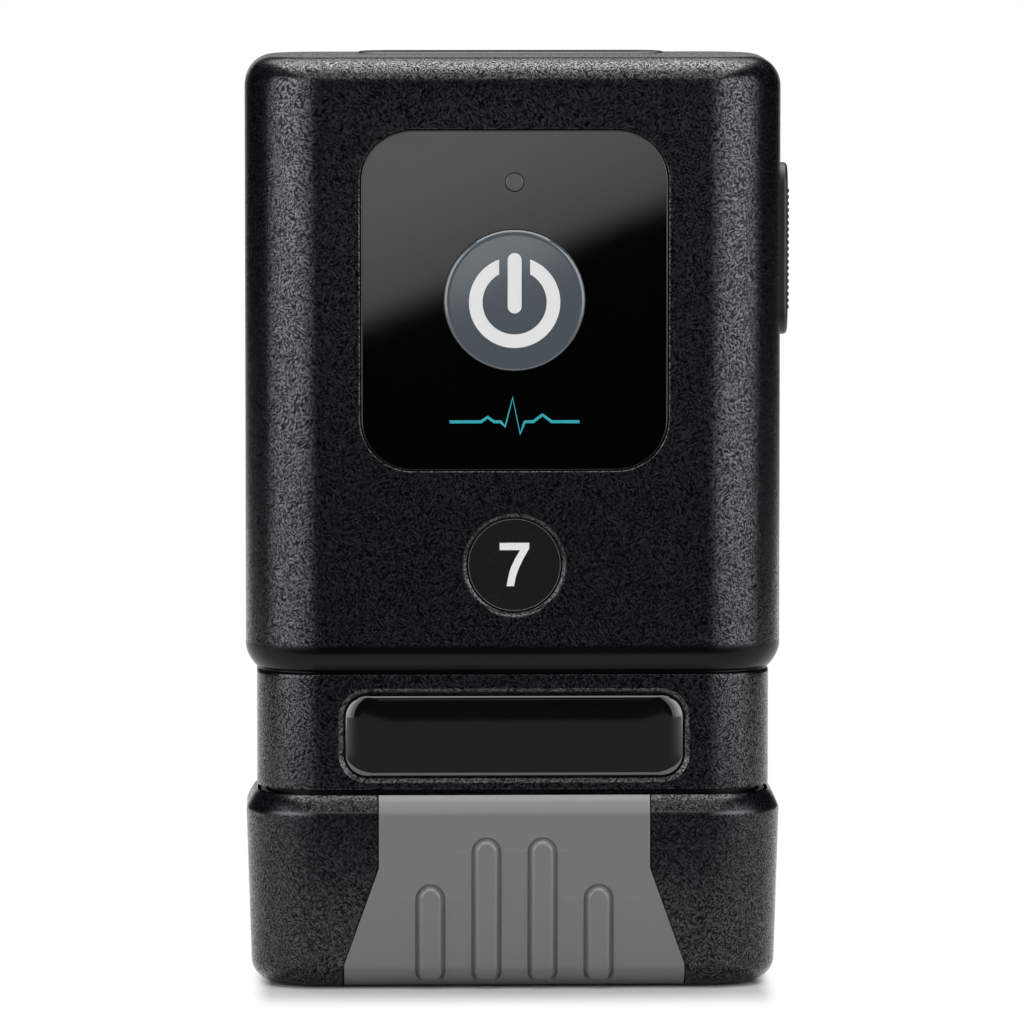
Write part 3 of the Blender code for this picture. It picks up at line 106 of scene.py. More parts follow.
# Front details. A plate or an opening is its half width, half height and corner radius.
KEY_Z = 74.5
KEY_RADIUS = 7.6
KEY_FACE = 12.75
KEY_CROWN = 0.025
KEY_EDGE = (0.4, 0.32)
KEY_WELL = 7.85
KEY_OPENING = 7.67
LED_Z = 87.2
LED_WELL = 1.2
LED_OPENING = 1.05
WINDOW_PLATE = (16.5, 18.33, 5.55)
WINDOW_OPENING = (16.6, 18.42, 5.65)
WINDOW_FACE = 12.35
WINDOW_BACK = 11.45
WINDOW_FLOOR = 11.43
WINDOW_EDGE = 0.12
TRACE_Z = 61.4
DISC_Z = 45.9
DISC_RADIUS = 5.07
DISC_DEPTH = 0.55
BADGE_Z = 27.3
BADGE_PLATE = (18.25, 4.4, 2.4)
BADGE_OPENING = (18.45, 4.6, 2.6)
BADGE_DEPTH = 1.0
# The walls of two recesses: radius, or step outwards from the opening, and height over the face
DISH_WALL = ((5.2, -0.9), (5.2, -0.52), (5.36, -0.46), (5.5, -0.37), (5.61, -0.26), (5.69, -0.13))
DISH_WALL += ((5.74, 0.02), (5.74, 0.3))
BADGE_WALL = ((0.0, -0.9), (0.0, -0.34), (0.03, -0.28), (0.09, -0.25), (0.36, -0.1), (0.44, -0.04))
BADGE_WALL += ((0.52, -0.005), (0.56, 0.005), (0.56, 0.8))

# Side key, socket and screws
SIDE_KEY_Y = -1.8
SIDE_KEY_Z = 79.5
SIDE_KEY_FACE = 29.85
SIDE_KEY_HALF = (2.6, 9.35)
SIDE_KEY_FLANGE = 10.65
SIDE_SLOT = (2.8, 9.55, 2.8)
SOCKET_Y = 6.6
SOCKET_TOP = 100.66
PIN_COUNT = 5
PIN_PITCH = 6.0
SCREW_PLACES = ((-22.0, 94.0), (22.0, 94.0), (-22.0, 42.0), (22.0, 42.0))
COUNTERBORE = ((1.4, 1.0), (1.4, 8.4), (2.55, 8.4), (2.55, 13.5))
BOSS_RADIUS = 3.4
INSERT_HOLE = 2.1
HEAD_RADIUS = 2.3
HEAD_ROUND = 0.6
LOBE_OUT = 0.86

# Stage, in metres. A tier of lamps is its width, the overhead lamp's depth and its height.
LAMP_TIERS = ((1.06, 2.0, 0.75), (0.83, 0.9, 0.7), (0.59, 0.6, 0.62), (0.33, 0.3, 0.54))
SIDE_RADIANCE = 0.72
OVERHEAD_RADIANCE = 1.3
FLOOR_LEVEL = -0.0002

CORNER_STEPS = 24
ROUND_STEPS = 16
TINY = 0.001
CUT_REACH = 0.0005
FINE_REACH = 0.0001
BEYOND = 1.0
FRONT = Matrix(((1, 0, 0), (0, 0, -1), (0, 1, 0)))
RIGHT = Matrix(((0, 0, 1), (1, 0, 0), (0, 1, 0)))
BACK = Matrix(((-1, 0, 0), (0, 0, 1), (0, 1, 0)))
UP = Matrix.Identity(3)


# Finishes


class Value:
    """A socket of a finish. Python's operators on it add Math nodes."""

    def __init__(self, finish, socket):
        self.finish = finish
        self.socket = socket

    def maths(self, operation, other=0.0, first=True):
        """Maths on this value and another, of which this is the first or else the second."""
        pair = (self, other) if first else (other, self)
        return self.finish.add("Math", {"operation": operation}, {0: pair[0], 1: pair[1]})

    def __add__(self, other):
        return self.maths("ADD", other)

    def __radd__(self, other):
        return self.maths("ADD", other, False)

    def __sub__(self, other):
        return self.maths("SUBTRACT", other)

    def __rsub__(self, other):
        return self.maths("SUBTRACT", other, False)

    def __mul__(self, other):
        return self.maths("MULTIPLY", other)

    def __rmul__(self, other):
        return self.maths("MULTIPLY", other, False)


class Finish:
    """A material, or the world, and the nodes that are added to it."""

    def __init__(self, owner):
        owner.use_nodes = True
        self.owner = owner
        self.nodes = owner.node_tree.nodes
        self.links = owner.node_tree.links

    def add(self, kind, settings=None, sockets=None, output=0):
        """Adds a node, with its settings first and then its sockets, and gives one of its outputs."""
        node = self.nodes.new("ShaderNode" + kind)
        for setting, value in (settings or {}).items():
            setattr(node, setting, value)
        for name, value in (sockets or {}).items():
            self.fill(node.inputs[name], value)
        return Value(self, node.outputs[output])

    def fill(self, socket, value):
        """Sets a socket, or links it where the value is another node's."""
        if isinstance(value, Value):
            self.links.new(value.socket, socket)
        else:
            socket.default_value = value

    def shader(self):
        return next(node for node in self.nodes if node.type == "BSDF_PRINCIPLED")

    def feed(self, name, value):
        """Sets or links one socket of the finish's own shader."""
        self.fill(self.shader().inputs[name], value)

    def surface(self, value):
        """Puts a shader on the material's output."""
        end = next(node for node in self.nodes if node.type == "OUTPUT_MATERIAL")
        self.fill(end.inputs["Surface"], value)

    def ray(self, kind):
        """1 for rays of one kind, and 0 for others."""
        return self.add("LightPath", output=f"Is {kind} Ray")

    def place(self):
        """Object coordinates in millimetres."""
        metres = self.add("TexCoord", output="Object")
        return self.add("VectorMath", {"operation": "SCALE"}, {0: metres, "Scale": 1 / MM})

    def axis(self, place, name):
        return self.add("SeparateXYZ", None, {0: place}, name)

    def noise(self, place, scale, detail=2.0, roughness=0.5):
        sockets = {"Vector": place, "Scale": scale, "Detail": detail, "Roughness": roughness}
        return self.add("TexNoise", None, sockets)

    def cells(self, place, scale, feature):
        return self.add("TexVoronoi", {"feature": feature}, {"Vector": place, "Scale": scale})

    def ease(self, value, low, high, start=0.0, end=1.0):
        """Rises smoothly from start to end while the value goes from low to high."""
        sockets = {0: value, 1: low, 2: high, 3: start, 4: end}
        return self.add("MapRange", {"interpolation_type": "SMOOTHSTEP"}, sockets)

    def blend(self, share, first, second):
        return self.add("Mix", {"data_type": "RGBA"}, {0: share, 6: first, 7: second}, 2)

    def warped(self, place, scale, reach):
        """Places pushed about by a soft noise, so that a pattern on them isn't regular."""
        push = self.add("TexNoise", None, {"Vector": place, "Scale": scale, "Detail": 1.0}, "Color")
        middle = self.add("VectorMath", {"operation": "SUBTRACT"}, {0: push, 1: (0.5, 0.5, 0.5)})
        moved = self.add("VectorMath", {"operation": "SCALE"}, {0: middle, "Scale": reach})
        return self.add("VectorMath", {"operation": "ADD"}, {0: place, 1: moved})

    def bump(self, height, depth):
        """Bump from a height of 0 to 1 that stands for a depth in millimetres."""
        return self.add("Bump", None, {"Strength": 1.0, "Distance": depth * MM, "Height": height})


def grey(level):
    return (level, level, level, 1.0)


def colour(red, green, blue):
    return (red, green, blue, 1.0)


def new_finish(name, base, roughness, metallic=0.0):
    finish = Finish(bpy.data.materials.new(name))
    finish.feed("Base Color", base)
    finish.feed("Roughness", roughness)
    finish.feed("Metallic", metallic)
    finish.owner.diffuse_color = base
    return finish


def tinted(base, factor):
    return (base[0] * factor, base[1] * factor, base[2] * factor, 1.0)


def moulded(name, base, roughness, grain, mottle, scale):
    """Plain moulded stuff: faint mottling, uneven gloss and a fine grain."""
    finish = new_finish(name, base, roughness)
    place = finish.place()
    cloud = finish.noise(place, scale / 6, 3.0)
    fine = finish.noise(place, scale * 2, 3.0, 0.6)
    finish.feed("Base Color", finish.blend(cloud, tinted(base, 1 - mottle), tinted(base, 1 + mottle)))
    finish.feed("Roughness", roughness * 0.85 + fine * (roughness * 0.3))
    finish.feed("Normal", finish.bump(fine, grain))
    return finish


def leather_grain(finish, place):
    """Height of the housing's moulded grain: short fine wrinkles whose run changes from place to place."""
    loose = finish.warped(place, 0.5, 1.4)
    runs = []
    for turn in (-0.8, 0.8):
        sockets = {"Vector": loose, "Rotation": (0, turn, 0), "Scale": (0.5, 0.125, 0.125)}
        drawn = finish.add("Mapping", {"vector_type": "TEXTURE"}, sockets)
        runs.append(finish.ease(finish.noise(drawn, 1.0, 1.0), 0.34, 0.66))
    choice = finish.ease(finish.noise(place, 0.45, 1.0), 0.42, 0.58)
    wrinkles = runs[0] * choice + runs[1] * (1 - choice)
    speck = finish.ease(finish.noise(place, 6.5, 2.0), 0.34, 0.68)
    return wrinkles * 0.6 + speck * 0.4


def textured_black(name, smooth_from=None, smooth_to=None, polished_at=None, coat_index=1.76):
    """Black plastic with the moulded grain.

    With two heights it has a satin band between them, for the shoulder, and no coat below the neck, on the
    spigot, as painted shade in the gap under the neck. It may also have an edge that handling has polished.
    """
    finish = new_finish(name, grey(0.0085), 0.4)
    place = finish.place()
    height = leather_grain(finish, place)
    cloud = finish.noise(place, 0.25, 3.0)
    rough = 0.2 + cloud * 0.04 + height * 0.06
    gloss = finish.ease(height, 0.34, 0.70)
    if smooth_from is not None:
        z = finish.axis(place, "Z")
        above = finish.ease(z, smooth_from, smooth_from + 0.3)
        below = finish.ease(z, smooth_to - 0.5, smooth_to)
        satin = above * (1 - below)
        height = height * (1 - satin)
        # Painted shade: below the neck the coat goes, so the gap between the neck and the cap stays dark.
        clear_of_painted_gap_shade = finish.ease(z, NECK_BOTTOM, NECK_BOTTOM + 0.12)
        gloss = (gloss * (1 - satin) + satin * 0.08) * clear_of_painted_gap_shade
    low, high = colour(0.0001, 0.0002, 0.0006), colour(0.0100, 0.0106, 0.0135)
    finish.feed("Base Color", finish.blend(finish.ease(height, 0.35, 0.95), low, high))
    finish.feed("Roughness", rough)
    if polished_at is not None:
        off = (finish.axis(place, "Z") - polished_at).maths("ABSOLUTE")
        gloss = gloss + finish.ease(off, 0.05, 0.28, 1.0, 0.0) * (1 - gloss)
    finish.feed("Specular IOR Level", 0.12)
    finish.feed("Coat IOR", coat_index)
    finish.feed("Coat Roughness", 0.2)
    finish.feed("Coat Weight", gloss)
    finish.feed("Normal", finish.bump(height, 0.013))
    return finish


def rubber_painted_dark_low(name, base, roughness):
    """Grey rubber with painted shade: darker towards the foot of the cap, with a faint random mottle."""
    finish = moulded(name, base, roughness, 0.012, 0.03, 4.0)
    place = finish.place()
    # Painted shade: the colour darkens towards the foot of the cap, where less light falls; a little noise
    # mottles it.
    painted_light_and_mottle = finish.ease(finish.axis(place, "Z"), -2.0, 20.0) * 0.9 + finish.noise(place, 0.7, 3.0) * 0.1
    finish.feed("Base Color", finish.blend(painted_light_and_mottle, tinted(base, 0.75), tinted(base, 1.07)))
    finish.feed("Specular IOR Level", 0.85)
    return finish


def glossy_black(name, base, roughness, ripple=0.0015):
    """Polished black plastic, with the faint wipe marks that a polished face carries."""
    finish = new_finish(name, base, roughness)
    place = finish.place()
    wipe = finish.noise(place, 0.35, 4.0, 0.65)
    finish.feed("Roughness", roughness * 0.6 + wipe * (roughness * 0.8))
    finish.feed("Base Color", finish.blend(wipe, tinted(base, 0.8), tinted(base, 1.25)))
    finish.feed("Normal", finish.bump(finish.noise(place, 0.2, 1.0), ripple))
    return finish


def printed(name, base):
    """Ink or an inlay, a little uneven in tone."""
    roughness = 0.45
    finish = new_finish(name, base, roughness)
    place = finish.place()
    fine = finish.noise(place, 5.0, 3.0, 0.6)
    finish.feed("Base Color", finish.blend(fine, tinted(base, 0.95), tinted(base, 1.05)))
    finish.feed("Roughness", roughness * 0.85 + fine * (roughness * 0.3))
    return finish


def circuit_board(name):
    """Green solder mask over faint copper tracks, with rows of small pads."""
    finish = new_finish(name, colour(0.015, 0.110, 0.050), 0.35)
    place = finish.place()
    tracks = finish.ease(finish.cells(place, 0.55, "DISTANCE_TO_EDGE"), 0.03, 0.07)
    pads = finish.ease(finish.cells(place, 1.1, "F1"), 0.16, 0.2)
    mask = finish.blend(tracks, colour(0.03, 0.19, 0.08), colour(0.012, 0.095, 0.042))
    finish.feed("Base Color", finish.blend(pads, colour(0.62, 0.5, 0.28), mask))
    finish.feed("Roughness", 0.28 + pads * 0.12)
    finish.feed("Normal", finish.bump(tracks, 0.03))
    return finish


def wrapped_cell(name):
    """A cell's printed sleeve: a darker field with a plain copper-coloured band at one end."""
    finish = new_finish(name, colour(0.10, 0.11, 0.13), 0.3)
    place = finish.place()
    z = finish.axis(place, "Z")
    fine = finish.noise(place, 4.0, 2.0)
    band = finish.ease(z, 42.0, 42.3)
    sleeve = finish.blend(band, colour(0.02, 0.021, 0.024), colour(0.42, 0.22, 0.10))
    ends = finish.ease(z, 7.6, 7.7) * (1 - finish.ease(z, 56.3, 56.5))
    finish.feed("Base Color", finish.blend(ends, grey(0.55), sleeve))
    finish.feed("Metallic", 0.9 - ends * 0.75)
    finish.feed("Roughness", 0.22 + fine * 0.12)
    finish.feed("Normal", finish.bump(fine, 0.01))
    return finish


def brushed_metal(name, base, roughness, along="Z"):
    """Metal with fine scratches along one axis."""
    finish = new_finish(name, base, roughness, 1.0)
    place = finish.place()
    stretch = {"X": (0.25, 6.0, 6.0), "Y": (6.0, 0.25, 6.0), "Z": (6.0, 6.0, 0.25)}[along]
    drawn = finish.add("Mapping", None, {"Vector": place, "Scale": stretch})
    scratches = finish.noise(drawn, 1.5, 3.0, 0.6)
    cloud = finish.noise(place, 0.6, 2.0)
    finish.feed("Base Color", finish.blend(cloud, tinted(base, 0.88), tinted(base, 1.08)))
    finish.feed("Roughness", roughness * 0.75 + scratches * (roughness * 0.5))
    finish.feed("Normal", finish.bump(scratches, 0.004))
    return finish


# The finish of each slot, and the prints
looks = {
    "housing_black": textured_black("housing_black_grain", NECK_TOP - 0.15, SHOULDER_TOP + 0.45),
    "cap_black": textured_black("cap_black_grain", polished_at=CAP_RIM[2][0], coat_index=1.58),
    "grip_grey": rubber_painted_dark_low("grip_grey_rubber", colour(0.121, 0.124, 0.121), 0.32),
    "window_black": glossy_black("window_black_gloss", colour(0.0001, 0.0003, 0.0003), 0.03, 0.0004),
    "key_grey": moulded("key_grey_satin", colour(0.066, 0.079, 0.089), 0.07, 0.0004, 0.03, 5.0),
    "label_black": moulded("label_black_satin", grey(0.003), 0.27, 0.004, 0.1, 4.0),
    "badge_black": glossy_black("badge_black_dome", grey(0.002), 0.05, 0.0008),
    "side_key_black": moulded("side_key_black_satin", grey(0.010), 0.36, 0.008, 0.1, 5.0),
    "socket_black": moulded("socket_black_satin", grey(0.010), 0.3, 0.008, 0.1, 4.0),
    "pin_gold": brushed_metal("pin_gold_plate", colour(0.90, 0.68, 0.30), 0.22),
    "seal_rubber": moulded("seal_rubber_black", grey(0.022), 0.6, 0.02, 0.15, 4.0),
    "screw_steel": brushed_metal("screw_steel_brushed", grey(0.50), 0.3, "Y"),
    "insert_brass": brushed_metal("insert_brass_knurled", colour(0.72, 0.52, 0.22), 0.32, "Y"),
    "board_green": circuit_board("board_green_mask"),
    "component_black": moulded("component_black_resin", grey(0.02), 0.5, 0.02, 0.2, 5.0),
    "shield_steel": brushed_metal("shield_steel_plate", grey(0.60), 0.32, "X"),
    "ceramic_white": moulded("ceramic_white_chip", colour(0.72, 0.72, 0.69), 0.4, 0.01, 0.05, 4.0),
    "plunger_steel": brushed_metal("plunger_steel_bright", grey(0.55), 0.28, "Y"),
    "tray_black": moulded("tray_black_plastic", grey(0.024), 0.5, 0.03, 0.15, 3.0),
    "cell_jacket": wrapped_cell("cell_jacket_sleeve"),
    "contact_nickel": brushed_metal("contact_nickel_plate", colour(0.62, 0.60, 0.56), 0.26, "X"),
    "light_pipe_clear": moulded(
        "light_pipe_clear_plastic", colour(0.075, 0.080, 0.082), 0.2, 0.004, 0.06, 5.0
    ),
}
looks["window_black"].feed("IOR", 1.8)
looks["key_grey"].feed("IOR", 1.95)
looks["badge_black"].feed("IOR", 1.8)
looks["badge_black"].feed("Coat Weight", 1.0)
symbol_white = printed("symbol_white_print", colour(0.665, 0.665, 0.648))
trace_teal = printed("trace_teal_print", colour(0.013, 0.305, 0.350))
outline_grey = printed("outline_grey_print", grey(0.12))


# Shapes


def outline(bm, half_width, half_height, radius, at, steps):
    """Edges of a rectangle with round corners in the plane at one height, or of a circle."""
    if radius >= min(half_width, half_height) - TINY and abs(half_width - half_height) < TINY:
        made = bmesh.ops.create_circle(bm, cap_ends=False, segments=4 * steps, radius=radius)["verts"]
        bmesh.ops.translate(bm, vec=(0, 0, at), verts=made)
        return list({edge for vert in made for edge in vert.link_edges})
    made = bmesh.ops.create_grid(bm, x_segments=1, y_segments=1, size=1.0)["verts"]
    bmesh.ops.scale(bm, vec=(half_width, half_height, 1), verts=made)
    bmesh.ops.translate(bm, vec=(0, 0, at), verts=made)
    radius = min(radius, min(half_width, half_height) - TINY)
    rounded = bmesh.ops.bevel(
        bm,
        geom=made,
        offset=radius,
        offset_type="OFFSET",
        segments=steps,
        profile=0.5,
        affect="VERTICES",
        material=-1,
    )
    face = rounded["verts"][0].link_faces[0]
    edges = list(face.edges)
    bmesh.ops.delete(bm, geom=[face], context="FACES_ONLY")
    return edges


def stacked(bm, sections, steps=CORNER_STEPS, ends=(True, True)):
    """A closed wall through outlines (half width, half height, radius, height), with its ends filled.

    The outlines are bridged one above another, and then each goes to its own height.
    """
    loops = [outline(bm, *section[:3], 10.0 * number, steps) for number, section in enumerate(sections)]
    for lower, upper in zip(loops, loops[1:]):
        bmesh.ops.bridge_loops(bm, edges=lower + upper)
    for loop, wanted in ((loops[0], ends[0]), (loops[-1], ends[1])):
        if wanted:
            bmesh.ops.contextual_create(bm, geom=loop)
    for loop, section in zip(loops, sections):
        for vert in {vert for edge in loop for vert in edge.verts}:
            vert.co.z = section[3]
    return loops


def put(bm, verts, turn, centre):
    bmesh.ops.transform(bm, matrix=Matrix.Translation(Vector(centre)) @ turn.to_4x4(), verts=verts)


def block(bm, sections, turn=UP, centre=(0, 0, 0), steps=CORNER_STEPS):
    """A stacked solid, turned and moved to its place."""
    known = set(bm.verts)
    stacked(bm, sections, steps)
    put(bm, [vert for vert in bm.verts if vert not in known], turn, centre)


def solid(sections, turn=UP, centre=(0, 0, 0), steps=CORNER_STEPS):
    bm = bmesh.new()
    block(bm, sections, turn, centre, steps)
    return bm


def turned(profile):
    """Sections of a round shape, from pairs of radius and height."""
    return [(radius, radius, radius, at) for radius, at in profile]


def cut_along(bm, planes, reach):
    """Adds edges where planes, each a point and a normal, cross the faces."""
    for middle, normal in planes:
        geometry = list(bm.verts) + list(bm.edges) + list(bm.faces)
        bmesh.ops.bisect_plane(bm, geom=geometry, dist=reach, plane_co=middle, plane_no=normal)


def thicken(bm, step):
    """Draws flat faces out by a step, so that they have a thickness."""
    raised = bmesh.ops.extrude_face_region(bm, geom=list(bm.faces))["geom"]
    lifted = [item for item in raised if isinstance(item, bmesh.types.BMVert)]
    bmesh.ops.translate(bm, vec=step, verts=lifted)
    bmesh.ops.recalc_face_normals(bm, faces=bm.faces)


def tidy(bm):
    bmesh.ops.remove_doubles(bm, verts=bm.verts, dist=0.0004)
    bmesh.ops.recalc_face_normals(bm, faces=bm.faces)


def mesh_of(name, bm):
    mesh = bpy.data.meshes.new(name)
    bm.to_mesh(mesh)
    bm.free()
    return mesh


def join(bm, other):
    """Moves another shape's faces into a shape."""
    whole = mesh_of("joined", other)
    bm.from_mesh(whole)
    bpy.data.meshes.remove(whole)


def linked(name, data):
    """A new object in the scene."""
    made = bpy.data.objects.new(name, data)
    bpy.context.collection.objects.link(made)
    return made


def as_object(name, bm):
    """An unfinished object, still in millimetres."""
    tidy(bm)
    return linked(name, mesh_of(name, bm))


def carved(bm, steps):
    """Applies Booleans, each an operation and a shape, one after another."""
    base = as_object("carving", bm)
    tools = []
    for number, (operation, shape) in enumerate(steps):
        tool = as_object(f"cutter_{number}", shape)
        modifier = base.modifiers.new(tool.name, "BOOLEAN")
        modifier.operation, modifier.solver, modifier.object = operation, "EXACT", tool
        tools.append(tool)
    shown = base.evaluated_get(bpy.context.evaluated_depsgraph_get())
    result = bmesh.new()
    result.from_mesh(shown.to_mesh())
    for gone in tools + [base]:
        bpy.data.objects.remove(gone)
    return result


def show(name, bm, body, slot, nodes=(), ink=None, angle=32, flat=True):
    """Makes the finished piece: metres, smooth shading with sharp edges, body and finish.

    The finish is the slot's, unless the piece is a print.
    """
    bmesh.ops.scale(bm, vec=(MM, MM, MM), verts=bm.verts)
    mesh = mesh_of(name, bm)
    mesh.materials.append((ink or looks[slot]).owner)
    mesh.shade_smooth()
    mesh.set_sharp_from_angle(angle=math.radians(angle))
    made = linked(name, mesh)
    if flat:
        flatter = made.modifiers.new("flatter", "WEIGHTED_NORMAL")
        flatter.keep_sharp, flatter.weight = True, 90
    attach(made, body)
    if nodes:
        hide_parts(*nodes)


def arc(steps, low=0.0, high=90.0):
    return [math.radians(low + (high - low) * step / steps) for step in range(steps + 1)]


# Housing


def body_sections(pairs):
    """Sections round the body's plan, from pairs of inset and height."""
    return [(HALF_WIDTH - inset, HALF_DEPTH - inset, PLAN_RADIUS - inset, z) for inset, z in pairs]


def housing_skin():
    """Both shells as one closed hollow wall, from the cavity's ceiling round the spigot to the top."""
    foot, groove = SPIGOT_BOTTOM + SPIGOT_BEVEL, SPIGOT_INSET + SEAL_DEPTH
    low, high = SEAL_GROOVE
    sections = [(WALL, CEILING), (WALL, BAY_TOP), (BAY_INSET, SHOULDER_TOP), (BAY_INSET, foot)]
    sections += [(BAY_INSET - SPIGOT_BEVEL, SPIGOT_BOTTOM), (SPIGOT_INSET + SPIGOT_BEVEL, SPIGOT_BOTTOM)]
    sections += [(SPIGOT_INSET, foot), (SPIGOT_INSET, low), (groove, low), (groove, high)]
    sections += [(SPIGOT_INSET, high), (SPIGOT_INSET, NECK_BOTTOM)]
    for a in arc(3):
        drawn_in = NECK_INSET + NECK_EDGE - NECK_EDGE * math.sin(a)
        sections.append((drawn_in, NECK_BOTTOM + NECK_EDGE - NECK_EDGE * math.cos(a)))
    sections.append((NECK_INSET, NECK_BOTTOM + 0.5))
    sections += [(NECK_INSET + out, NECK_TOP + up) for out, up in CREASE]
    rise = SHOULDER_TOP - NECK_TOP - CREASE[-1][1]
    for step in range(1, 11):
        share = 1 - step / 10
        sections.append((NECK_INSET * share**2, SHOULDER_TOP - share * rise))
    sections += [(0.0, SHOULDER_TOP + SUPPORT), (0.0, TOP - TOP_FILLET - SUPPORT)]
    for a in arc(14):
        reach = TOP_FILLET * (1 - math.cos(a))
        sections.append((reach, TOP - TOP_FILLET + TOP_FILLET * math.sin(a)))
    sections.append((TOP_FILLET + SUPPORT, TOP))
    bm = bmesh.new()
    stacked(bm, body_sections(sections))
    planes = []
    for axis, half in (((1, 0, 0), HALF_WIDTH), ((0, 1, 0), HALF_DEPTH)):
        reach = half - PLAN_RADIUS - SUPPORT
        planes += [(Vector(axis) * (side * reach), axis) for side in (-1, 1)]
    cut_along(bm, planes, FINE_REACH)
    return bm


def flared(half_width, half_height, radius, face, floor, lip):
    """Sections of a cutter for a recess whose rim is rounded by the lip. Heights count outwards."""
    sections = [(half_width, half_height, radius, floor)]
    for a in arc(5):
        out = lip * (1 - math.cos(a))
        sections.append((half_width + out, half_height + out, radius + out, face - lip + lip * math.sin(a)))
    return sections + [(half_width + lip, half_height + lip, radius + lip, face + BEYOND)]


def window_cutter():
    sections = flared(*WINDOW_OPENING, HALF_DEPTH, WINDOW_FLOOR, 0.18)
    return solid(sections, FRONT, (0, 0, KEY_Z))


def dish_cutter():
    wall = [(radius, HALF_DEPTH + up) for radius, up in DISH_WALL]
    return solid(turned(wall), FRONT, (0, 0, DISC_Z))


def badge_cutter():
    face = HALF_DEPTH - NECK_INSET
    half_width, half_height, radius = BADGE_OPENING
    wall = [(half_width + out, half_height + out, radius + out, face + up) for out, up in BADGE_WALL]
    return solid(wall, FRONT, (0, 0, BADGE_Z))


def round_hole(radius, low, high, turn, centre):
    return solid(turned([(radius, low), (radius, high)]), turn, centre, ROUND_STEPS)


def joined_round(places, profile, turn, steps=ROUND_STEPS):
    """The same turned shape at several places, in one mesh."""
    bm = bmesh.new()
    for place in places:
        block(bm, turned(profile), turn, place, steps)
    return bm


def side_slot():
    sections = flared(*SIDE_SLOT, HALF_WIDTH, 25.5, 0.12)
    return solid(sections, RIGHT, (0, SIDE_KEY_Y, SIDE_KEY_Z), ROUND_STEPS)


def boss_liner():
    """The room that the bosses may fill: the skin, a little smaller."""
    inset = 0.8
    return solid(body_sections([(inset, 38.7), (inset, TOP - TOP_FILLET), (TOP_FILLET, TOP - inset)]))


def half_space(low, high):
    """A box between two depths that takes in the whole housing."""
    depth = (high - low) / 2
    return solid([(40, depth, 0.01, z) for z in (5, 105)], UP, (0, (low + high) / 2, 0), 1)


def without(cutters):
    return [("DIFFERENCE", cutter) for cutter in cutters]


def make_housing():
    spots = [(x, 0, z) for x, z in SCREW_PLACES]
    bosses = joined_round(spots, [(BOSS_RADIUS, -12.4), (BOSS_RADIUS, 12.4)], BACK)
    bosses = carved(bosses, [("INTERSECT", boss_liner())])
    front = carved(housing_skin(), [("UNION", bosses)])
    rear = front.copy()
    cutters = [window_cutter(), dish_cutter(), badge_cutter()]
    cutters.append(round_hole(KEY_WELL, 9.0, 12.0, FRONT, (0, 0, KEY_Z)))
    cutters.append(round_hole(LED_WELL, 9.0, 12.0, FRONT, (0, 0, LED_Z)))
    cutters.append(side_slot())
    cutters.append(joined_round(spots, [(INSERT_HOLE, -3.4), (INSERT_HOLE, 4.0)], BACK))
    half = [("INTERSECT", half_space(-14, SEAM_Y - SEAM_GAP / 2))]
    front = carved(front, half + without(cutters))
    show("front_housing", front, "housing", "housing_black", ["front_shell"])
    mouth = [(16.85, 3.2, 3.2, 97.0), (16.85, 3.2, 3.2, 102.0)]
    cutters = [joined_round(spots, COUNTERBORE, BACK), solid(mouth, UP, (0, SOCKET_Y, 0))]
    half = [("INTERSECT", half_space(SEAM_Y + SEAM_GAP / 2, 14))]
    rear = carved(rear, half + without(cutters))
    show("rear_housing", rear, "housing", "housing_black", ["rear_shell"])


# Window, key, label and badge


def make_window():
    half_width, half_height, radius = WINDOW_PLATE
    wall = [(0.0, WINDOW_BACK)]
    for a in arc(4):
        wall.append((WINDOW_EDGE * (1 - math.cos(a)), WINDOW_FACE - WINDOW_EDGE + WINDOW_EDGE * math.sin(a)))
    wall.append((0.16, WINDOW_FACE))
    sections = [(half_width - inset, half_height - inset, radius - inset, at) for inset, at in wall]
    holes = [round_hole(KEY_OPENING, 10.0, 13.5, FRONT, (0, 0, KEY_Z))]
    holes.append(round_hole(LED_OPENING, 10.0, 13.5, FRONT, (0, 0, LED_Z)))
    plate = carved(solid(sections, FRONT, (0, 0, KEY_Z)), without(holes))
    show("window_plate", plate, "housing", "window_black", ["window_lens"], angle=25)
    dot = [(0.95, 10.6), (0.95, WINDOW_FACE - 0.08), (0.8, WINDOW_FACE)]
    pipe = joined_round([(0, 0, LED_Z)], dot, FRONT)
    block(pipe, turned([(1.5, 9.9), (1.5, 10.45)]), FRONT, (0, 0, LED_Z), ROUND_STEPS)
    show("indicator_dot", pipe, "housing", "light_pipe_clear", ["light_pipe"])
    make_pulse_trace()


def make_pulse_trace():
    """A plain heartbeat line printed low on the window."""
    points = [(-7.0, 0), (-3.6, 0), (-2.9, 0.5), (-2.2, 0), (-1.5, 0), (-1.0, -0.5), (-0.2, 2.6)]
    points += [(0.6, -1.3), (1.1, 0), (2.0, 0), (3.0, 0.75), (4.0, 0), (7.0, 0)]
    curve = bpy.data.curves.new("pulse_path", "CURVE")
    curve.dimensions, curve.bevel_depth, curve.bevel_resolution = "3D", 0.17, 2
    curve.use_fill_caps = True
    path = curve.splines.new("POLY")
    path.points.add(len(points) - 1)
    for spot, (x, z) in zip(path.points, points):
        spot.co = (x, z, 0, 1)
    drawn = linked("pulse_path", curve)
    shown = drawn.evaluated_get(bpy.context.evaluated_depsgraph_get())
    bm = bmesh.new()
    bm.from_mesh(shown.to_mesh())
    bpy.data.objects.remove(drawn)
    bmesh.ops.scale(bm, vec=(1, 1, 0.06), verts=bm.verts)
    put(bm, bm.verts, FRONT, (0, -WINDOW_FACE, TRACE_Z))
    show("pulse_trace", bm, "housing", "window_black", (), trace_teal)


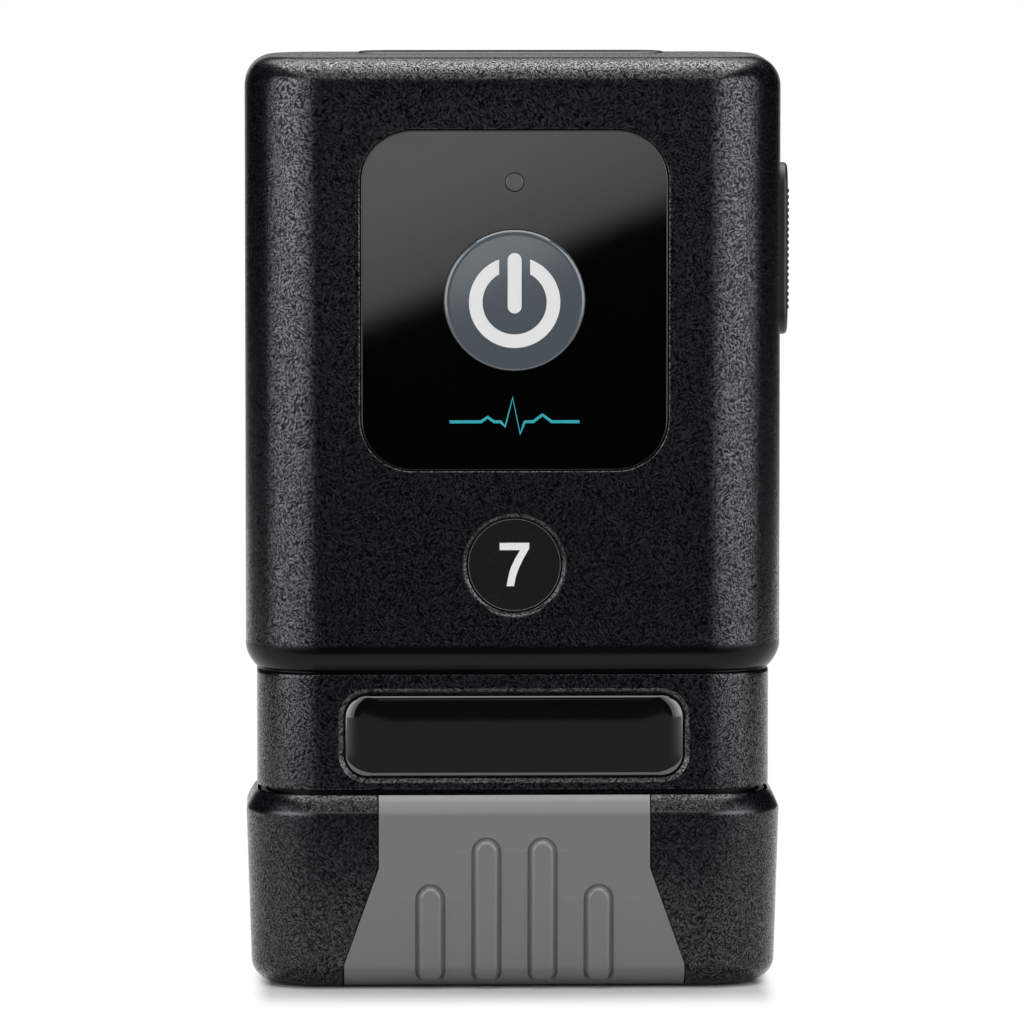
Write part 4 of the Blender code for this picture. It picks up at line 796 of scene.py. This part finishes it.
def make_power_key():
    face, (inset, drop) = KEY_FACE, KEY_EDGE
    profile = [(8.6, 9.75), (8.6, 10.3), (KEY_RADIUS, 10.3), (KEY_RADIUS, face - drop)]
    for a in arc(8)[1:]:
        profile.append((KEY_RADIUS - inset * (1 - math.cos(a)), face - drop + drop * math.sin(a)))
    profile += [(6.9, face + 0.002), (5.0, face + 0.015), (2.5, face + KEY_CROWN)]
    key = joined_round([(0, 0, KEY_Z)], profile, FRONT, CORNER_STEPS)
    show("power_button", key, "power_key", "key_grey", ["power_key"])
    make_power_symbol(face + KEY_CROWN)


def make_power_symbol(face):
    """An open ring with a bar through its gap, printed on the key."""
    outer, inner, gap, lowered = 4.91, 3.45, 1.67, 0.2
    bar_half, bar_reach, bar_lift = 0.745, 3.25, 1.86
    thick, proud = 0.08, 0.012
    bm = bmesh.new()
    rims = []
    for radius in (outer, inner):
        made = bmesh.ops.create_circle(bm, cap_ends=False, segments=160, radius=radius)["verts"]
        rims += list({edge for vert in made for edge in vert.link_edges})
    bmesh.ops.bridge_loops(bm, edges=rims)
    cut_along(bm, [((side * gap, 0, 0), (1, 0, 0)) for side in (-1, 1)], FINE_REACH)
    in_gap = [f for f in bm.faces if abs(f.calc_center_median().x) < gap and f.calc_center_median().y > 0]
    bmesh.ops.delete(bm, geom=in_gap, context="FACES")
    put(bm, bm.verts, FRONT, (0, -face, KEY_Z - lowered))
    bar = bmesh.new()
    edges = outline(bar, bar_half, bar_reach, bar_half, 0.0, 10)
    bmesh.ops.contextual_create(bar, geom=edges)
    put(bar, bar.verts, FRONT, (0, -face, KEY_Z + bar_lift))
    for part in (bm, bar):
        thicken(part, (0, thick, 0))
        bmesh.ops.translate(part, vec=(0, -proud, 0), verts=part.verts)
    join(bm, bar)
    show("power_symbol", bm, "power_key", "key_grey", (), symbol_white)


def make_label():
    face = HALF_DEPTH - DISC_DEPTH
    profile = [(DISC_RADIUS, face - 0.3), (DISC_RADIUS, face - 0.03), (DISC_RADIUS - 0.03, face)]
    disc = joined_round([(0, 0, DISC_Z)], profile, FRONT, CORNER_STEPS)
    show("label_disc", disc, "housing", "label_black", ["number_disc"])
    ring = bmesh.new()
    circle = [(4.97, -0.02), (4.97, 0.01), (4.92, 0.01), (4.92, -0.02)]
    stacked(ring, turned(circle + circle[:1]), CORNER_STEPS, (False, False))
    put(ring, ring.verts, FRONT, (0, -face, DISC_Z))
    tidy(ring)
    show("label_outline", ring, "housing", "label_black", (), outline_grey)
    make_numeral(face)


def make_numeral(face):
    """The plain number 7, printed in white."""
    corners = [(-1.6, 2.34), (1.6, 2.34), (1.6, 1.74), (1.0, 0.69), (0.48, -0.39), (0.12, -1.47)]
    corners += [(-0.04, -2.35), (-0.84, -2.35), (-0.69, -1.47), (-0.41, -0.39), (0.1, 0.69), (0.62, 1.55)]
    corners += [(-1.6, 1.55)]
    bm = bmesh.new()
    bm.faces.new([bm.verts.new((x, z, 0)) for x, z in corners])
    thicken(bm, (0, 0, 0.06))
    put(bm, bm.verts, FRONT, (0, -face + 0.048, DISC_Z + 0.05))
    show("label_number", bm, "housing", "label_black", (), symbol_white)


def make_badge():
    """A low dome with a rounded edge that reaches further in at its two ends."""
    face = HALF_DEPTH - BADGE_DEPTH
    half_width, half_height, radius = BADGE_PLATE
    edge, crown, turned_in, field, steps = 0.34, 0.03, 0.5, 3.7, 12
    insets = [(0.0, 10.62), (0.0, face - edge - crown)]
    for a in arc(steps)[1:]:
        insets.append((turned_in * (1 - math.cos(a)), face - crown - edge * (1 - math.sin(a))))
    for step in range(1, steps + 1):
        insets.append((turned_in + field * step / steps, face - crown * (1 - step / steps) ** 2))
    sections = []
    for off, at in insets:
        along = min(off, turned_in) * 3.4 + max(0.0, off - turned_in)
        sections.append((half_width - along, half_height - off, max(0.1, radius - off * 0.55), at))
    bm = solid(sections, FRONT, (0, 0, BADGE_Z))
    show("badge_plate", bm, "housing", "badge_black", ["domed_badge"], angle=50)


# Side key, socket and screws


def make_side_key():
    """A pill-shaped key whose face carries fine cross ridges."""
    face, crown, (half, reach) = SIDE_KEY_FACE, 0.45, SIDE_KEY_HALF
    sections = [(half, SIDE_KEY_FLANGE, half, 26.2), (half, SIDE_KEY_FLANGE, half, 26.75)]
    sections += [(half, reach, half, 26.75), (half, reach, half, face - crown)]
    for a in arc(8)[1:]:
        inset = crown * (1 - math.cos(a))
        sections.append((half - inset, reach - inset, half - inset, face - crown + crown * math.sin(a)))
    key = solid(sections, RIGHT, (0, SIDE_KEY_Y, SIDE_KEY_Z), ROUND_STEPS)
    block(key, turned([(0.8, 22.0), (0.8, 26.4)]), RIGHT, (0, -3.5, SIDE_KEY_Z), 8)
    pitch, count = 0.7, 19
    for number in range(count):
        z = SIDE_KEY_Z + (number - (count - 1) / 2) * pitch
        ridge = [(1.7, 0.26, 0.2, face - 0.1), (1.7, 0.24, 0.2, face + 0.06)]
        ridge += [(1.62, 0.17, 0.15, face + 0.14), (1.5, 0.07, 0.06, face + 0.17)]
        block(key, ridge, RIGHT, (0, SIDE_KEY_Y, z), 3)
    show("side_button", key, "side_key", "side_key_black", ["side_key"])


def make_socket():
    """The lead socket's rounded shell, its rim and its floor, with the pins' collars."""
    top = SOCKET_TOP
    sections = [(15.85, 2.3, 2.3, 90.4), (15.85, 2.3, 2.3, top - 0.15), (15.9, 2.35, 2.35, top - 0.04)]
    sections += [(16.0, 2.45, 2.45, top), (16.45, 2.9, 2.9, top), (16.55, 3.0, 3.0, top - 0.03)]
    sections += [(16.72, 3.17, 3.17, top - 0.2), (16.72, 3.17, 3.17, 98.05), (17.2, 3.5, 3.5, 98.05)]
    sections += [(17.2, 3.5, 3.5, 88.0)]
    bm = solid(sections, UP, (0, SOCKET_Y, 0))
    spots = [((number - 2) * PIN_PITCH, SOCKET_Y, 0) for number in range(PIN_COUNT)]
    for spot in spots:
        block(bm, turned([(0.9, 90.3), (0.9, 90.7), (0.75, 90.85), (0.65, 90.85)]), UP, spot, 6)
    show("lead_socket", bm, "housing", "socket_black", ["lead_socket_block"])
    for number, spot in enumerate(spots):
        low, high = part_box(f"lead_pin_{number + 1}")
        foot, tip = low.z / MM, high.z / MM
        profile = [(0.5, foot), (0.5, tip - 0.5), (0.44, tip - 0.25), (0.3, tip - 0.07), (0.12, tip)]
        pin = joined_round([spot], profile, UP, 6)
        show(f"socket_pin_{number + 1}", pin, "housing", "pin_gold", [f"lead_pin_{number + 1}"])


def make_screws():
    """Pan heads with a six-lobed drive, deep in their counterbores."""
    rim = 9.6
    for number, (x, z) in enumerate(SCREW_PLACES):
        node = f"case_screw_{number + 1}"
        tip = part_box(node)[0].y / MM
        profile = [(0.55, tip), (1.15, tip + 0.6), (1.15, 8.6), (2.2, 8.6)]
        profile += [(HEAD_RADIUS, 8.75), (HEAD_RADIUS, rim)]
        for a in arc(6)[1:]:
            profile.append((HEAD_RADIUS - HEAD_ROUND * (1 - math.cos(a)), rim + HEAD_ROUND * math.sin(a)))
        cutters = [solid(turned([(0.2, 8.7), (0.82, 9.1), (0.82, 10.6)]), BACK, (x, 0, z), 6)]
        for lobe in range(6):
            turn = math.radians(60 * lobe)
            spot = (x + LOBE_OUT * math.cos(turn), 0, z + LOBE_OUT * math.sin(turn))
            cutters.append(solid(turned([(0.3, 9.2), (0.3, 10.6)]), BACK, spot, 4))
        screw = carved(joined_round([(x, 0, z)], profile, BACK, 12), without(cutters))
        show(f"housing_screw_{number + 1}", screw, "housing", "screw_steel", [node])


# End cap and grip band


def cap_profile():
    """Outer profile of the cap from the flat of its base to the rim, as (inset, height)."""
    profile = []
    for a in arc(12):
        profile.append((CAP_BASE_INSET + CAP_FILLET * (1 - math.sin(a)), CAP_FILLET * (1 - math.cos(a))))
    profile.append((CAP_BASE_INSET - CAP_BULGE, CAP_FILLET + SUPPORT))
    profile.append((CAP_RIM[0][1] + CAP_BULGE, CAP_RIM[0][0] - SUPPORT))
    profile += [(inset, z) for z, inset in CAP_RIM]
    return profile + [(CAP_RIM_INSET - 0.1, 20.72), (CAP_RIM_INSET, CAP_TOP)]


def cap_skin():
    bm = bmesh.new()
    stacked(bm, body_sections(cap_profile()), CORNER_STEPS, (True, False))
    return bm


def band_half(z, margin):
    """Half width of the band's outline at a height, grown by a margin."""
    if z <= BAND_FOOT:
        return BAND_BASE_HALF + margin
    if z >= BAND_BEND:
        return BAND_TOP_HALF + margin
    share = (z - BAND_FOOT) / (BAND_BEND - BAND_FOOT)
    return BAND_BASE_HALF + (BAND_TOP_HALF - BAND_BASE_HALF) * share + margin


def slice_band(bm, margin):
    """Cuts the skin along the band's outline, and says which faces lie within it."""
    planes = [((0, 0, BAND_FOOT), (0, 0, 1)), ((0, 0, BAND_BEND), (0, 0, 1))]
    lean = Vector((BAND_BEND - BAND_FOOT, 0, BAND_BASE_HALF - BAND_TOP_HALF)).normalized()
    for side in (-1, 1):
        planes.append(((side * (BAND_BASE_HALF + margin), 0, 0), (1, 0, 0)))
        planes.append(((side * (BAND_TOP_HALF + margin), 0, 0), (1, 0, 0)))
        planes.append(((side * (BAND_BASE_HALF + margin), 0, BAND_FOOT), (side * lean.x, 0, lean.z)))
    cut_along(bm, planes, CUT_REACH)
    centres = [(face, face.calc_center_median()) for face in bm.faces]
    return [face for face, centre in centres if abs(centre.x) < band_half(centre.z, margin)]


def rib_height(x, z):
    """How far the ribs stand out at a place on the band, from 0 to 1, and a little below 0 beside them."""
    best = 0.0
    for number, top in enumerate(RIB_TOPS):
        off = abs(x - (number - 1.5) * RIB_PITCH)
        above = z - (top - RIB_HALF)
        below = RIB_FOOT + RIB_FOOT_RADIUS - z
        if above > 0:
            within = RIB_HALF - math.hypot(off, above)
        elif below > 0:
            within = RIB_FOOT_RADIUS - math.hypot(max(0.0, off - (RIB_HALF - RIB_FOOT_RADIUS)), below)
            within = min(within, RIB_HALF - off)
        else:
            within = RIB_HALF - off
        if within >= RIB_EDGE:
            return 1.0
        if within > 0:
            return math.sqrt(1 - (1 - within / RIB_EDGE) ** 2)
        if within > -GROOVE_WIDE:
            best = -GROOVE_SHARE * (0.5 - 0.5 * math.cos(2 * math.pi * within / GROOVE_WIDE))
    return best


def ridge_lines():
    """Places across the band where the ribs need edges."""
    middles = [(number - 1.5) * RIB_PITCH for number in range(len(RIB_TOPS))]
    return [middle + side * reach for middle in middles for reach in RIB_STEPS for side in (-1, 1)]


def make_grip_band():
    bm = cap_skin()
    inside = set(slice_band(bm, 0.0))
    bmesh.ops.delete(bm, geom=[face for face in bm.faces if face not in inside], context="FACES")
    cuts = [((x, 0, 0), (1, 0, 0)) for x in ridge_lines()]
    levels = [0.5 + 0.09 * step for step in range(12)] + [2.0, 3.0, 5.0, 7.0]
    for top in sorted(set(RIB_TOPS)):
        levels += [top + 0.45 - 0.08 * step for step in range(20)] + [top - 1.18, top - RIB_HALF]
    cuts += [((0, 0, z), (0, 0, 1)) for z in levels]
    cut_along(bm, cuts, CUT_REACH)
    bm.normal_update()
    moves = []
    for vert in bm.verts:
        rise = rib_height(vert.co.x, vert.co.z) * RIB_PROUD
        if rise != 0:
            moves.append((vert, vert.normal * rise))
    rim = [edge for edge in bm.edges if edge.is_boundary]
    walls = bmesh.ops.extrude_edge_only(bm, edges=rim)["geom"]
    sunk = [item for item in walls if isinstance(item, bmesh.types.BMVert)]
    depths = [(vert, inward(vert.co)) for vert in sunk]
    for vert, push in moves + depths:
        vert.co += push
    bmesh.ops.recalc_face_normals(bm, faces=bm.faces)
    show("grip_insert", bm, "end_cap", "grip_grey", ["grip_band"], angle=40, flat=False)


def inward(spot):
    """The step from the cap's skin to the bottom of the band's let-in."""
    if spot.z < 0.01:
        return Vector((0, 0, BAND_DEEP))
    side = -1 if spot.y > 0 else 1
    lift = max(0.0, 1 - spot.z / CAP_FILLET)
    if spot.z > CAP_TOP - 0.01:
        return Vector((0, side * 0.35, -0.05))
    return Vector((0, side * BAND_DEEP * (1 - 0.5 * lift), BAND_DEEP * lift))


def make_end_cap():
    bm = cap_skin()
    inside = slice_band(bm, BAND_GAP)
    bmesh.ops.delete(bm, geom=inside, context="FACES")
    below_top = CAP_TOP - 0.01
    rim = [edge for edge in bm.edges if edge.is_boundary and min(v.co.z for v in edge.verts) < below_top]
    walls = bmesh.ops.extrude_edge_only(bm, edges=rim)["geom"]
    for item in walls:
        if isinstance(item, bmesh.types.BMVert):
            item.co += inward(item.co)
    bmesh.ops.recalc_face_normals(bm, faces=bm.faces)
    inner = bmesh.new()
    wall, rim_inset = CAP_WALL_INSET, CAP_RIM_INSET + 0.4
    sections = [(wall + 0.6, CAP_FLOOR), (wall, CAP_FLOOR + 0.6), (wall, CAP_TOP - 0.15)]
    sections += [(wall - 0.15, CAP_TOP), (rim_inset, CAP_TOP), (rim_inset, CAP_TOP - 0.3)]
    sections += [(CAP_BASE_INSET + 0.95, 2.2), (CAP_BASE_INSET + 1.6, 1.0)]
    stacked(inner, body_sections(sections))
    tidy(inner)
    join(bm, inner)
    show("lower_cap", bm, "end_cap", "cap_black", ["end_cap"])


def dress_nodes():
    """Gives every solid the finish of its slot."""
    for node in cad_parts.values():
        for slot in node.material_slots:
            slot.material = looks[slot.material.name].owner


# Stage, lights and camera


def sheet(name, half, centre, turn=UP):
    """A flat rectangle, in metres."""
    bm = bmesh.new()
    bmesh.ops.create_grid(bm, x_segments=1, y_segments=1, size=1.0)
    bmesh.ops.scale(bm, vec=(*half, 1), verts=bm.verts)
    put(bm, bm.verts, turn, centre)
    return linked(name, mesh_of(name, bm))


def make_floor():
    """The floor that the end cap stands on, also while the cap is off, with a painted shadow round the foot.
    """
    floor = sheet("floor", (0.34, 0.305), (0, 0.235, FLOOR_LEVEL))
    finish = new_finish("floor_paper_painted_shadow", grey(0.4), 0.9)
    finish.feed("Specular IOR Level", 0.0)
    place = finish.place()
    fibres = finish.noise(place, 0.6, 3.0)
    finish.feed("Base Color", finish.blend(fibres, grey(0.39), grey(0.41)))
    # Painted shadow: near the foot, in a zone that is narrower at the sides, the floor shows its grey paper
    # lit by the lamps instead of white, so the lamps' shadow there reads darker.
    folded = finish.add("VectorMath", {"operation": "ABSOLUTE"}, {0: place})
    past = finish.add("VectorMath", {"operation": "SUBTRACT"}, {0: folded, 1: (26.0, HALF_DEPTH, 1.0)})
    outside = finish.add("VectorMath", {"operation": "MAXIMUM"}, {0: past, 1: (0, 0, 0)})
    narrow = finish.add("VectorMath", {"operation": "MULTIPLY"}, {0: outside, 1: (6.0, 1.0, 1.0)})
    painted_shadow_reach = finish.add("VectorMath", {"operation": "LENGTH"}, {0: narrow}, "Value")
    seen = finish.ray("Camera") + finish.ray("Glossy") + finish.ray("Transmission")
    paper = finish.add("Emission", None, {"Color": grey(1.0), "Strength": 1.0})
    own = Value(finish, finish.shader().outputs[0])
    mixed = finish.add("MixShader", None, {0: seen * finish.ease(painted_shadow_reach, 0.5, 15.5), 1: own, 2: paper})
    finish.surface(mixed)
    floor.data.materials.append(finish.owner)
    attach(floor, "end_cap")


def hidden_card(name, look, half, centre, turn=UP):
    """A card that only reflections see, with a finish that is still plain."""
    card = sheet(name, half, centre, turn)
    card.visible_camera = card.visible_diffuse = card.visible_shadow = False
    finish = Finish(bpy.data.materials.new(look))
    card.data.materials.append(finish.owner)
    return card, finish


def make_window_card():
    """A pale card in front, which gives the window its slanting sheen."""
    half, centre = (0.0285, 0.0235), (0.015, -0.6125, 0.0455)
    card, finish = hidden_card("window_card", "card_pale_glow", half, centre, FRONT)
    place = finish.place()
    x, z = finish.axis(place, "X"), finish.axis(place, "Z")
    above = z - (x * 0.40 + 36.0)
    share = finish.ease(above, -1.0, 6.0) * 0.6 + finish.ease(above, 0.0, 28.0) * 0.4
    glow = finish.add("Emission", None, {"Color": grey(1.0), "Strength": 1.12})
    clear = finish.add("BsdfTransparent")
    finish.surface(finish.add("MixShader", None, {0: share, 1: clear, 2: glow}))


def make_front_card():
    """A dark card on the ground before the floor, paler at its ends: it gives reflections a horizon."""
    half, centre = (0.24, 0.1245), (0, -0.1955, FLOOR_LEVEL)
    card, finish = hidden_card("front_card", "card_dim_glow", half, centre)
    across = finish.axis(finish.place(), "X").maths("ABSOLUTE")
    tone = finish.blend(finish.ease(across, 25.0, 200.0), grey(0.11), grey(0.62))
    finish.surface(finish.add("Emission", None, {"Color": tone, "Strength": 1.0}))
    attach(card, "end_cap")


def make_world():
    """White to the camera and through clear pieces, and dim to light that surfaces scatter.

    Reflections see a nearly black room with a pale strip low behind the object.
    """
    world = bpy.data.worlds.new("studio")
    bpy.context.scene.world = world
    studio = Finish(world)
    backdrop = next(node for node in studio.nodes if node.type == "BACKGROUND")
    way = studio.add("TexCoord", output="Generated")
    back = studio.ease(studio.axis(way, "Y"), 0.86, 0.985)
    low = 1 - studio.ease(studio.axis(way, "Z"), 0.09, 0.2)
    shiny, through, camera = (studio.ray(kind) for kind in ("Glossy", "Transmission", "Camera"))
    seen = shiny * (0.008 + back * low * 0.55) + through + camera
    rest = 1 - (shiny + through + camera).maths("MINIMUM", 1.0)
    studio.fill(backdrop.inputs["Strength"], seen + rest * 0.08)
    studio.fill(backdrop.inputs["Color"], grey(1.0))


def softbox(name, centre, aim, width, height, radiance, tint=(1.0, 1.0, 1.0)):
    """A rectangular lamp whose face shines evenly with a radiance."""
    lamp = bpy.data.lights.new(name, "AREA")
    lamp.shape, lamp.size, lamp.size_y = "RECTANGLE", width, height
    lamp.energy = math.pi * width * height * radiance
    lamp.color = tint
    holder = linked(name, lamp)
    holder.location = centre
    holder.rotation_euler = (Vector(aim) - Vector(centre)).to_track_quat("-Z", "Y").to_euler()


def round_about(degrees, distance, z):
    """A place round the object, counted from the camera's side towards the right."""
    turn = math.radians(degrees)
    return (distance * math.sin(turn), -distance * math.cos(turn), z)


def make_lights():
    """A lamp at each side and one overhead, each in tiers of falling size, so that its edges are soft."""
    cool = (0.985, 0.99, 1.04)
    for step, (width, deep, height) in enumerate(LAMP_TIERS):
        off, middle = 0.7 + 0.004 * step, 0.575 - height / 2
        for name, degrees in (("left_softbox", -50), ("right_softbox", 49)):
            centre = round_about(degrees, off, middle)
            softbox(f"{name}_{step}", centre, (0, 0, middle), width, height, SIDE_RADIANCE, cool)
        centre, aim = (0, 0.07, off + 0.05), (0, 0.07, 0)
        softbox(f"overhead_softbox_{step}", centre, aim, 0.9, deep, OVERHEAD_RADIANCE)


def make_camera():
    azimuth, elevation, distance, focal = -1.4, 4.85, 1.0, 9168.0
    aim = Vector((0.00003, 0, 0.05061))
    across, up = math.radians(azimuth), math.radians(elevation)
    back = Vector((math.sin(across) * math.cos(up), -math.cos(across) * math.cos(up), math.sin(up)))
    camera = bpy.data.cameras.new("camera")
    camera.sensor_fit, camera.sensor_width = "HORIZONTAL", 36.0
    camera.lens = focal * camera.sensor_width / 1024
    camera.clip_start, camera.clip_end = 0.05, 20.0
    holder = linked("camera", camera)
    holder.location = aim + back * distance
    holder.rotation_euler = (-back).to_track_quat("-Z", "Y").to_euler()
    bpy.context.scene.camera = holder


def main():
    dress_nodes()
    make_housing()
    make_window()
    make_power_key()
    make_label()
    make_badge()
    make_side_key()
    make_socket()
    make_screws()
    make_grip_band()
    make_end_cap()
    make_floor()
    make_window_card()
    make_front_card()
    make_world()
    make_lights()
    make_camera()
    bpy.context.scene.view_settings.view_transform = "Standard"


main()
